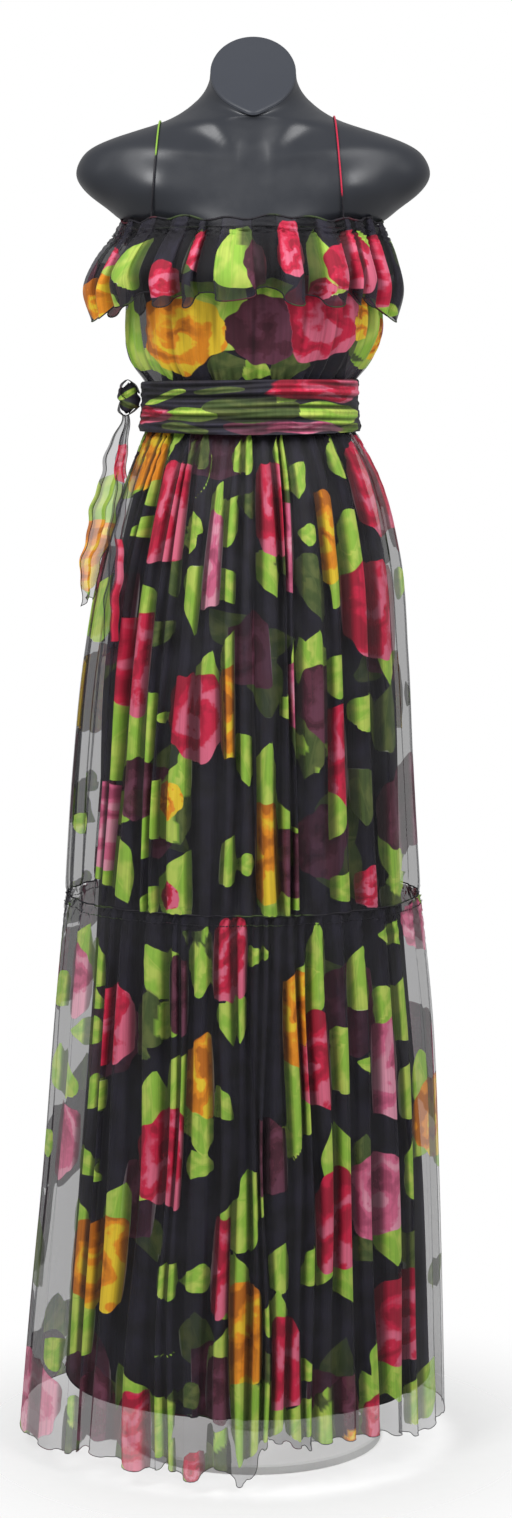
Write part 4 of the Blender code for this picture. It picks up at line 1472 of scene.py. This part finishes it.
def ruffle_half(front):
    """Half of the flounce: deep uneven folds that open downwards, with a wavy lower edge."""
    node = half_node("ruffle", front)
    rows = 60
    steps = 20
    folds = sizes().ruffle_folds
    columns = folds * steps + 1
    top = RUFFLE_LEVELS[0][0]
    fallen = np.linspace(0.0, 1.0, rows)[:, None]
    heights = np.broadcast_to(top + (RUFFLE_LEVELS[-1][0] - top) * fallen, (rows, columns)).copy()
    full = sizes().ruffle_depth - sizes().gather_depth
    depth = sizes().gather_depth + full * fallen[:, 0] ** 0.7
    seed = 41 + front
    folded = Folded(
        RUFFLE_LEVELS, heights, front, folds, depth, seed, turn=1.62, steps=steps, calm=False
    )
    add_puckers(folded, heights, RUFFLE_LEVELS[1][0], 0.007, 0.0035, seed)
    lean = 0.055 * (folded.across - 0.5) * fallen
    ripple = 0.006 * np.sin(5.0 * math.pi * folded.across + seed) * fallen
    folded.angle = half_turn(np.clip(folded.across + lean + ripple, 0.0, 1.0), front)
    reach = smooth_levels(RUFFLE_LEVELS, heights)
    bulge = 0.004 * np.sin(math.pi * fallen) * np.sin(9.0 * math.pi * folded.across + 1.0)
    x, y = round_figure(reach, folded.angle, folded.lift + bulge)
    billow = np.sin(folded.across * 61.0) + 0.8 * np.sin(folded.across * 23.0 + 1.0)
    head = RUFFLE_HEAD * (1.0 + 0.6 * billow) * (1.0 - fallen) ** 5
    places = heights + head - ruffle_fall(folded, fallen)
    points = np.stack((x, y, places), axis=-1)
    motifs = RUFFLE_PRINT if front else strewn(RUFFLE_LEVELS, 1.238, 1.300, 57, 0.055)
    made = lay_print(folded, places, motifs)
    # How far out each point lies on its fold sets the shade painted into the hollows.
    return lay_sheet(node, points, (folded.flat, top - heights), made, bodice_cloth(), folded.out)


def sash_half(front):
    """Half of the belt, drawn into soft, uneven level pleats."""
    node = half_node("sash", front)
    top = SASH_LEVELS[0][0]
    foot = SASH_LEVELS[-1][0]
    rows = 90
    columns = 240
    heights = plain_heights(top, foot, rows, columns)
    across = np.broadcast_to(np.linspace(0.0, 1.0, columns), heights.shape)
    down = np.linspace(0.0, 1.0, rows)[:, None]
    lift = np.full(heights.shape, 0.0009)
    calm = 1.0 - 0.65 * near(np.minimum(across, 1.0 - across), 0.0, 0.08)
    for count, size, slant in SASH_PLEATS:
        bend = 0.22 * np.sin(slant * math.pi * across + count) + 0.10 * np.sin(5.0 * across * slant)
        lift += size * np.sin(2.0 * math.pi * (count * down + bend)) * calm
    rim = np.clip(1.0 - np.minimum(down, 1.0 - down) / 0.06, 0.0, 1.0)
    lift -= 0.0014 * rim**2
    sag = 0.003 * np.sin(math.pi * across) ** 2 * down - 0.003 * across * (1.0 - down)
    x, y = round_figure(smooth_levels(SASH_LEVELS, heights), half_turn(across, front), lift)
    places = heights - sag if front else heights + 0.003 * (1.0 - across) * (1.0 - down)
    points = np.stack((x, y, places), axis=-1)
    flat = lay_flat(Unfolded(SASH_LEVELS), across[0])
    flat.rise = 0.0015 * np.sin(17.0 * across[0]) + 0.0008 * np.sin(41.0 * across[0])
    back_print = [
        ("blade" if motif[0] == "leaf" else motif[0], *motif[1:])
        for motif in strewn(SASH_LEVELS, foot, top, 17, 0.045, tall=(0.008, 0.014))
    ]
    made = lay_print(flat, heights, SASH_PRINT if front else back_print)
    ways = (across * half_girth(SASH_LEVELS, SASH_MIDDLE), top - heights)
    look = look_of("sash_print", printed_cloth, 1.0, 1.0)
    # The pleats' lift sets the shade painted into their hollows.
    crest_for_painted_shade = (lift + 0.0010) / 0.0042
    lay_sheet(node, points, ways, made, look, crest_for_painted_shade)


def tail(name, route):
    """A hanging end of the sash: soft crumpled cloth, doubled over along its length."""
    rows = 160
    columns = 41
    levels = [(z, x, y, half, 0.0) for (x, y, z), half in route]
    heights = np.linspace(levels[0][0], levels[-1][0], rows)
    x, y, half, _ = smooth_levels(levels, heights).T
    fall = np.linspace(0.0, 1.0, rows)[:, None]
    side = np.linspace(-1.0, 1.0, columns)[None, :]
    curl = side + 0.42 * np.sin(math.pi * 1.8 * side + 3.0 * fall)
    pinch = 1.0 - 0.45 * near(fall, 0.0, 0.10)
    waver = 0.0016 * np.sin(21.0 * fall + 0.6) + 0.0008 * np.sin(47.0 * fall)
    wide = x[:, None] + 0.82 * curl * pinch * half[:, None] + waver
    ripple = 0.0030 * np.cos(math.pi * 2.4 * side + 6.0 * fall)
    deep = y[:, None] - 0.002 + ripple
    tip = 0.005 * np.sin(2.2 * side + 0.5) * fall**6
    drop = np.broadcast_to(heights[:, None] + tip, wide.shape)
    points = np.stack((wide, deep, drop), axis=-1)
    made = Print(rows * columns)
    levels_here = drop.ravel()
    share = np.broadcast_to((side + 1.0) / 2, wide.shape).ravel()
    for kind, tint, left, right, low, high, lean in TAIL_PRINTS[name]:
        middle = (low + high) / 2
        within = (share >= left) & (share <= right) & (np.abs(levels_here - middle) < (high - low))
        chosen = np.flatnonzero(within)
        spread = (share[chosen] - 0.5) * 0.030
        made.draw((kind, tint, -0.02, 0.02, low, high, lean), chosen, spread, levels_here[chosen] - middle)
    ways = (side * float(half.mean()), (heights[0] - heights)[:, None])
    return lay_sheet(name, points, ways, made, chiffon(), 1.0)


def knot_piece():
    """The knot: a ball drawn into wound folds."""
    rows = 60
    columns = 90
    low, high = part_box("sash_knot")
    centre = (np.array(low) + np.array(high)) / 2
    half = (np.array(high) - np.array(low)) / 2 * KNOT_SWELL
    turn = np.linspace(0.0, 2.0 * math.pi, columns)[None, :]
    tilt = np.linspace(0.01, math.pi - 0.01, rows)[:, None]
    winding = 0.88 + 0.09 * np.sin(4.0 * tilt + 1.0 * turn) + 0.05 * np.sin(9.0 * tilt - 2.0 * turn)
    x = centre[0] + half[0] * winding * np.sin(tilt) * np.cos(turn)
    y = centre[1] + half[1] * winding * np.sin(tilt) * np.sin(turn)
    z = centre[2] + half[2] * winding * np.cos(tilt) * np.ones_like(turn)
    points = np.stack((x, y, z), axis=-1)
    made = Print(rows * columns)
    chosen = np.arange(rows * columns)
    for motif in KNOT_PRINT:
        middle = (motif[4] + motif[5]) / 2
        made.draw(motif, chosen, (points[..., 0] - centre[0]).ravel(), (points[..., 2] - middle).ravel())
    # The winding sets the shade painted into the knot's hollows.
    mesh = sheet_mesh("sash_knot_cloth", points, turn * half[0], tilt * half[2], made, winding)
    look = look_of("sash_print", printed_cloth, 1.0, 1.0)
    add_piece("sash_knot_cloth", mesh, look, "sash_knot")


def knot_loop(name, route, half_width):
    """A drawn-up loop of the sash beside its knot: a soft ribbon along a closed route."""
    route = np.array(route)
    turns = np.linspace(0.0, 1.0, 70)
    knots = np.linspace(0.0, 1.0, len(route))
    path = np.stack([np.interp(turns, knots, line) for line in route.T], axis=1)
    padded = np.pad(path, ((4, 4), (0, 0)), mode="edge")
    path = np.stack([np.convolve(line, np.ones(9) / 9, mode="valid") for line in padded.T], axis=1)
    side = np.linspace(-1.0, 1.0, 13)
    points = np.repeat(path[:, None, :], 13, axis=1)
    swell = half_width * (0.55 + 0.45 * np.sin(math.pi * turns))
    points[:, :, 1] += side[None, :] * swell[:, None]
    points[:, :, 0] += 0.0012 * np.sin(3.0 * side[None, :] + 9.0 * turns[:, None])
    made = Print(points[..., 0].size)
    mesh = sheet_mesh(name, points, side[None, :] * half_width, turns[:, None] * 0.06, made)
    piece = add_piece(name, mesh, bodice_cloth(), None)
    return points


def strap_path(offset):
    """Up the chest, over the shoulder and down the back: rays find the form's surface."""
    graph = bpy.context.evaluated_depsgraph_get()
    body = bpy.data.objects["form_torso_shell"].evaluated_get(graph)
    low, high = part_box("strap_left" if offset < 0 else "strap_right")
    stand_off = sizes().strap_radius + STRAP_CLEARANCE
    points = []
    for step in range(STRAP_RAYS + 1):
        angle = math.radians(STRAP_FIRST_RAY + STRAP_RAY_SPAN * step / STRAP_RAYS)
        outward = np.array((0.0, -math.cos(angle), math.sin(angle)))
        climb = max(0.0, math.sin(angle)) * 0.072 + 0.035
        x = math.copysign(abs(offset) - STRAP_LEAN * climb, offset)
        start = np.array((x, 0.0, STRAP_RAY_HEIGHT)) + STRAP_RAY_START * outward
        hit, place, normal, _ = body.ray_cast(start.tolist(), (-outward).tolist())
        if hit and place.z > STRAP_LOWEST_HIT:
            lean = math.copysign(abs(offset) - STRAP_LEAN * (place.z - NECKLINE), offset)
            lifted = np.array(place) + stand_off * np.array(normal)
            points.append((lean, float(lifted[1]), float(lifted[2])))
    front = (offset, low[1] + STRAP_END, low[2] + 0.0005)
    back = (offset, high[1] - STRAP_END, low[2] + 0.0005)
    return [front, *points, back]


def strap(name, offset, tint, change):
    """A rolled strap."""
    curve = bpy.data.curves.new(name + "_roll", "CURVE")
    curve.dimensions = "3D"
    curve.bevel_depth = sizes().strap_radius
    curve.bevel_resolution = 3
    curve.use_fill_caps = True
    line = curve.splines.new("POLY")
    path = strap_path(offset)
    line.points.add(len(path) - 1)
    for point, place in zip(line.points, path):
        point.co = (*place, 1.0)
    mesh = settled(link_object(name + "_maker", curve))
    look = look_of(name + "_cloth", strap_cloth, tint, change)
    add_piece(name + "_roll", mesh, look, name)


# ---------------------------------------------------------------- form


def chest_relief(x, z):
    """How far the chest's and neck's moulding stands out from the plain form."""
    side = np.abs(x)
    bone = 1.376 + 0.13 * side
    relief = 0.0022 * near(z, bone, 0.009) * near(side, 0.060, 0.046)
    relief -= 0.0026 * near(z, bone + 0.018, 0.012) * near(side, 0.058, 0.034)
    notch_width = 0.006 + 0.75 * np.clip(z - 1.368, 0.0, 0.04)
    relief -= 0.0034 * near(z, 1.380, 0.015) * near(side, 0.0, notch_width)
    relief -= 0.0018 * near(z, 1.402, 0.020) * near(x, 0.0, 0.0190)
    relief -= 0.0017 * near(z, 1.352, 0.020) * near(x, 0.0, 0.008)
    tendon = 0.009 + (z - 1.376) * 0.80
    relief += 0.0034 * near(side, tendon, 0.0125) * near(z, 1.398, 0.024)
    relief += 0.0070 * near(side, 0.098, 0.032) * near(z, 1.350, 0.030)
    relief -= 0.0040 * near(side, 0.152, 0.016) * near(z, 1.345, 0.030)
    return relief


def neck_ridge(x, y):
    """How far the throat's ridge stands out in front of the oval neck."""
    return 0.0055 * near(x, 0.0, 0.013) * (y < 0.0)


def closed_tube(name, points, sharp):
    """A closed mesh through rows of rings, with both ends filled; sharp is in degrees."""
    rows, columns = points.shape[:2]
    index = np.arange(rows * columns).reshape(rows, columns)
    after = np.roll(index, -1, axis=1)
    faces = np.stack((index[:-1], after[:-1], after[1:], index[1:]), axis=-1).reshape(-1, 4).tolist()
    faces.append(index[0][::-1].tolist())
    faces.append(index[-1].tolist())
    mesh = bpy.data.meshes.new(name)
    mesh.from_pydata(points.reshape(-1, 3).tolist(), [], faces)
    mesh.shade_smooth()
    mesh.set_sharp_from_angle(angle=math.radians(sharp))
    return mesh


def cap_mesh():
    """The oval cap on the neck, drawn to a soft point in front, with an eased edge."""
    low, half, _, front, back = TORSO_LEVELS[-1]
    rise = NECK_RISE[1][-1]
    angle = -np.linspace(0.0, 2.0 * math.pi, FORM_COLUMNS, endpoint=False)
    rings = []
    for lift, inset in CAP_PROFILE:
        sides = (half - inset, half - inset, front - inset, back - inset)
        x, y = round_figure(np.broadcast_to(np.array(sides), (FORM_COLUMNS, 4)), angle)
        y = y - neck_ridge(x, y)
        rings.append(np.stack((x, y, low + CAP_GAP * math.hypot(1.0, rise) + lift + rise * y), axis=-1))
    return closed_tube("form_neck_cap_shell", np.array(rings), 20.0)


def ease_down(points, rows=9):
    """The grid with each column's points averaged over a few rows, which rounds off ridges."""
    spare = rows // 2
    padded = np.pad(points, ((spare, spare), (0, 0), (0, 0)), mode="edge")
    return sum(padded[step:step + len(points)] for step in range(rows)) / rows


def form_mesh():
    """The moulded torso as a closed mesh, with collarbones, neck tendons and a hollow."""
    heights = np.concatenate((np.linspace(0.860, 1.300, 50), np.linspace(1.3025, 1.4695, 110)))
    angle = np.linspace(0.0, 2.0 * math.pi, FORM_COLUMNS, endpoint=False)
    levels, turns = np.meshgrid(heights, -angle, indexing="ij")
    reach = smooth_levels(TORSO_LEVELS, levels)
    power = np.interp(levels, *SHOULDER_POWER)
    x, y = round_figure(reach, turns, 0.0, power)
    z = levels + np.interp(levels, *NECK_RISE) * y
    plain = np.stack((x, y, z), axis=-1)
    plain[EASED_ROWS] = ease_down(plain)[EASED_ROWS]
    x, y, z = np.moveaxis(plain, -1, 0)
    open_front = np.clip(-y / 0.03, 0.0, 1.0) * np.clip((z - 1.310) / 0.01, 0.0, 1.0)
    rim = np.clip((heights[-1] - levels) / 0.012, 0.0, 1.0)
    y = y - chest_relief(x, z) * open_front * rim
    throat = neck_ridge(x, y) * near(levels, heights[-1], 0.016)
    points = np.stack((x, y - throat, z - throat * np.interp(levels, *NECK_RISE)), axis=-1)
    return closed_tube("form_torso_shell", points, 40.0)


# ---------------------------------------------------------------- operators


class GOWN_OT_skirt(bpy.types.Operator):
    """Make both gathered tiers, their rolled hem and the gathered seam between them"""

    bl_idname = "gown.skirt"
    bl_label = "Skirt Tiers"

    def execute(self, context):
        hems = []
        seams = []
        for front in (True, False):
            upper = skirt_tier("upper", front)
            lower = skirt_tier("lower", front)
            hems.append(lower[-1])
            seams.append(upper[-1][::2])
            stitch_row = lower[3] * 0.5 + lower[2] * 0.5
            outward = stitch_row * np.array((1.0, 1.0, 0.0))
            outward /= np.linalg.norm(outward, axis=1)[:, None]
            stitch_seam(half_node("tier_seam_stitches", front), [stitch_row + 0.0006 * outward])
        roll_edge("hem_roll", hems)
        roll_edge("tier_seam_roll", seams)
        return {"FINISHED"}


class GOWN_OT_underskirt(bpy.types.Operator):
    """Make the plain lining under the skirt"""

    bl_idname = "gown.underskirt"
    bl_label = "Underskirt"

    def execute(self, context):
        edges = [underskirt_half(front)[-1] for front in (True, False)]
        roll_edge("underskirt_hem_roll", edges)
        return {"FINISHED"}


class GOWN_OT_bodice(bpy.types.Operator):
    """Make the bodice and its neckline edge"""

    bl_idname = "gown.bodice"
    bl_label = "Bodice"

    def execute(self, context):
        edges = [bodice_half(front)[0] for front in (True, False)]
        roll_edge("neckline_edge_roll", edges)
        return {"FINISHED"}


class GOWN_OT_ruffle(bpy.types.Operator):
    """Make the neckline flounce with its gathered head and rolled edge"""

    bl_idname = "gown.ruffle"
    bl_label = "Ruffle"

    def execute(self, context):
        halves = [ruffle_half(front) for front in (True, False)]
        roll_edge("ruffle_edge_roll", [half[-1] for half in halves])
        roll_edge("ruffle_head_roll", [half[0] for half in halves])
        return {"FINISHED"}


class GOWN_OT_sash(bpy.types.Operator):
    """Make the belt, its knot and its two hanging ends"""

    bl_idname = "gown.sash"
    bl_label = "Sash"

    def execute(self, context):
        for front in (True, False):
            sash_half(front)
        knot_piece()
        edges = []
        for name, route in KNOT_LOOPS.items():
            points = knot_loop(name, route, 0.011)
            edges += [points[:, 0], points[:, -1]]
        for name, route in TAILS.items():
            points = tail(name, route)
            edges += [points[:, 0], points[:, -1], points[-1]]
        roll_edge("sash_tail_edges", edges)
        return {"FINISHED"}


class GOWN_OT_straps(bpy.types.Operator):
    """Make the two rolled shoulder straps"""

    bl_idname = "gown.straps"
    bl_label = "Straps"

    def execute(self, context):
        strap("strap_left", STRAPS["strap_left"], "lime", 1.384)
        strap("strap_right", STRAPS["strap_right"], "crimson", 1.342)
        return {"FINISHED"}


class GOWN_OT_form(bpy.types.Operator):
    """Make the moulded torso and finish its cap and the stand"""

    bl_idname = "gown.form"
    bl_label = "Form and Stand"

    def execute(self, context):
        satin = look_of("form_satin", moulded_plastic, colours().form, 0.34, 0.05)
        add_piece("form_torso_shell", form_mesh(), satin, "form_torso")
        paint = look_of("stand_paint", moulded_plastic, colours().stand, 0.35, 0.04)
        lighter = tuple(value * 1.7 for value in colours().form)
        cap = look_of("cap_satin", moulded_plastic, lighter, 0.42, 0.05)
        add_piece("form_neck_cap_shell", cap_mesh(), cap, "form_neck_cap")
        for node in ("stand_base", "stand_pole", "stand_flange"):
            mesh = bpy.data.objects[node].data
            mesh.materials.clear()
            mesh.materials.append(paint)
        return {"FINISHED"}


def area_light(name, place, target, width, height, power):
    """A soft rectangular light that faces a target."""
    lamp = bpy.data.lights.new(name, "AREA")
    lamp.shape = "RECTANGLE"
    lamp.size = width
    lamp.size_y = height
    lamp.energy = power
    light = link_object(name, lamp)
    light.location = place
    aim = np.array(target) - np.array(place)
    flat = math.hypot(aim[0], aim[1])
    light.rotation_euler = (math.atan2(flat, -aim[2]), 0.0, math.atan2(-aim[0], aim[1]))


def floor_paint(name):
    """Matt white paint that fades out far from the stand, so that no horizon shows."""
    look, tree, shader = new_material(name, 0.85)
    place = object_place(tree)
    speck = mix_colour(tree, noise(tree, place, 60.0), (0.86, 0.86, 0.86, 1.0), (0.90, 0.90, 0.90, 1.0))
    tree.links.new(speck, shader.inputs["Base Color"])
    reach = tree.nodes.new("ShaderNodeVectorMath")
    reach.operation = "LENGTH"
    tree.links.new(place, reach.inputs[0])
    fade = ramp(tree, reach.outputs["Value"], *FLOOR_FADE, FLOOR_SHARE, 0.0)
    tree.links.new(fade, shader.inputs["Alpha"])
    return look


def white_room(strength):
    """A white surround: full white to look at, dimmer as a light."""
    world = bpy.data.worlds.new("studio")
    world.use_nodes = True
    tree = world.node_tree
    back = tree.nodes["Background"]
    back.inputs["Color"].default_value = (1.0, 1.0, 1.0, 1.0)
    seen = tree.nodes.new("ShaderNodeLightPath").outputs["Is Camera Ray"]
    light = math_node(tree, "MULTIPLY_ADD", seen, 1.0 - strength, strength)
    tree.links.new(light, back.inputs["Strength"])
    return world


class GOWN_OT_stage(bpy.types.Operator):
    """Make the pale floor, the soft lights and the camera"""

    bl_idname = "gown.stage"
    bl_label = "Studio"

    def execute(self, context):
        scene = context.scene
        settings = scene.gown_stage
        lens = bpy.data.cameras.new("camera")
        lens.lens = settings.lens
        lens.sensor_width = 36.0
        camera = link_object("camera", lens)
        camera.location = (CAMERA_SIDE, -settings.distance, settings.height)
        camera.rotation_euler = (math.pi / 2 - settings.pitch, 0.0, 0.0)
        scene.camera = camera
        half = FLOOR_REACH
        floor = bpy.data.meshes.new("floor")
        floor.from_pydata(
            [(-half, -half, 0.0), (half, -half, 0.0), (half, half, 0.0), (-half, half, 0.0)],
            [],
            [(0, 1, 2, 3)],
        )
        ground = link_object("floor", floor)
        floor.materials.append(look_of("floor_paint", floor_paint))
        scene.world = white_room(settings.sky)
        target = (0.0, 0.0, AIM_HEIGHT)
        area_light("key", (-1.5, -2.0, 3.2), target, 0.9, 1.5, settings.key)
        area_light("fill", (1.6, -1.9, 3.1), target, 0.9, 1.5, settings.fill)
        area_light("under_skirt", (0.0, 0.0, 0.55), (0.0, 0.0, 0.0), 0.2, 0.2, settings.under)
        scene.view_settings.view_transform = "Standard"
        scene.cycles.transparent_max_bounces = 32
        return {"FINISHED"}


class GOWN_PT_panel(bpy.types.Panel):
    """The gown's steps, in order"""

    bl_idname = "GOWN_PT_panel"
    bl_label = "Evening Gown"
    bl_space_type = "VIEW_3D"
    bl_region_type = "UI"
    bl_category = "Gown"

    def draw(self, context):
        column = self.layout.column()
        for step in STEPS:
            column.operator(step.bl_idname)
        for group in (context.scene.gown_sizes, context.scene.gown_colours, context.scene.gown_stage):
            box = self.layout.box()
            for label in group.__annotations__:
                box.prop(group, label)


STEPS = (
    GOWN_OT_stage,
    GOWN_OT_form,
    GOWN_OT_underskirt,
    GOWN_OT_skirt,
    GOWN_OT_bodice,
    GOWN_OT_ruffle,
    GOWN_OT_sash,
    GOWN_OT_straps,
)
GROUPS = {"gown_sizes": GownSizes, "gown_colours": GownColours, "gown_stage": GownStage}


def register():
    for kind in (*GROUPS.values(), *STEPS, GOWN_PT_panel):
        bpy.utils.register_class(kind)
    for name, kind in GROUPS.items():
        setattr(bpy.types.Scene, name, PointerProperty(type=kind))


def unregister():
    for name in GROUPS:
        delattr(bpy.types.Scene, name)
    for kind in (GOWN_PT_panel, *reversed(STEPS), *GROUPS.values()):
        bpy.utils.unregister_class(kind)


def main():
    register()
    bpy.ops.gown.stage()
    bpy.ops.gown.form()
    bpy.ops.gown.underskirt()
    bpy.ops.gown.skirt()
    bpy.ops.gown.bodice()
    bpy.ops.gown.ruffle()
    bpy.ops.gown.sash()
    bpy.ops.gown.straps()


if __name__ == "__main__":
    main()
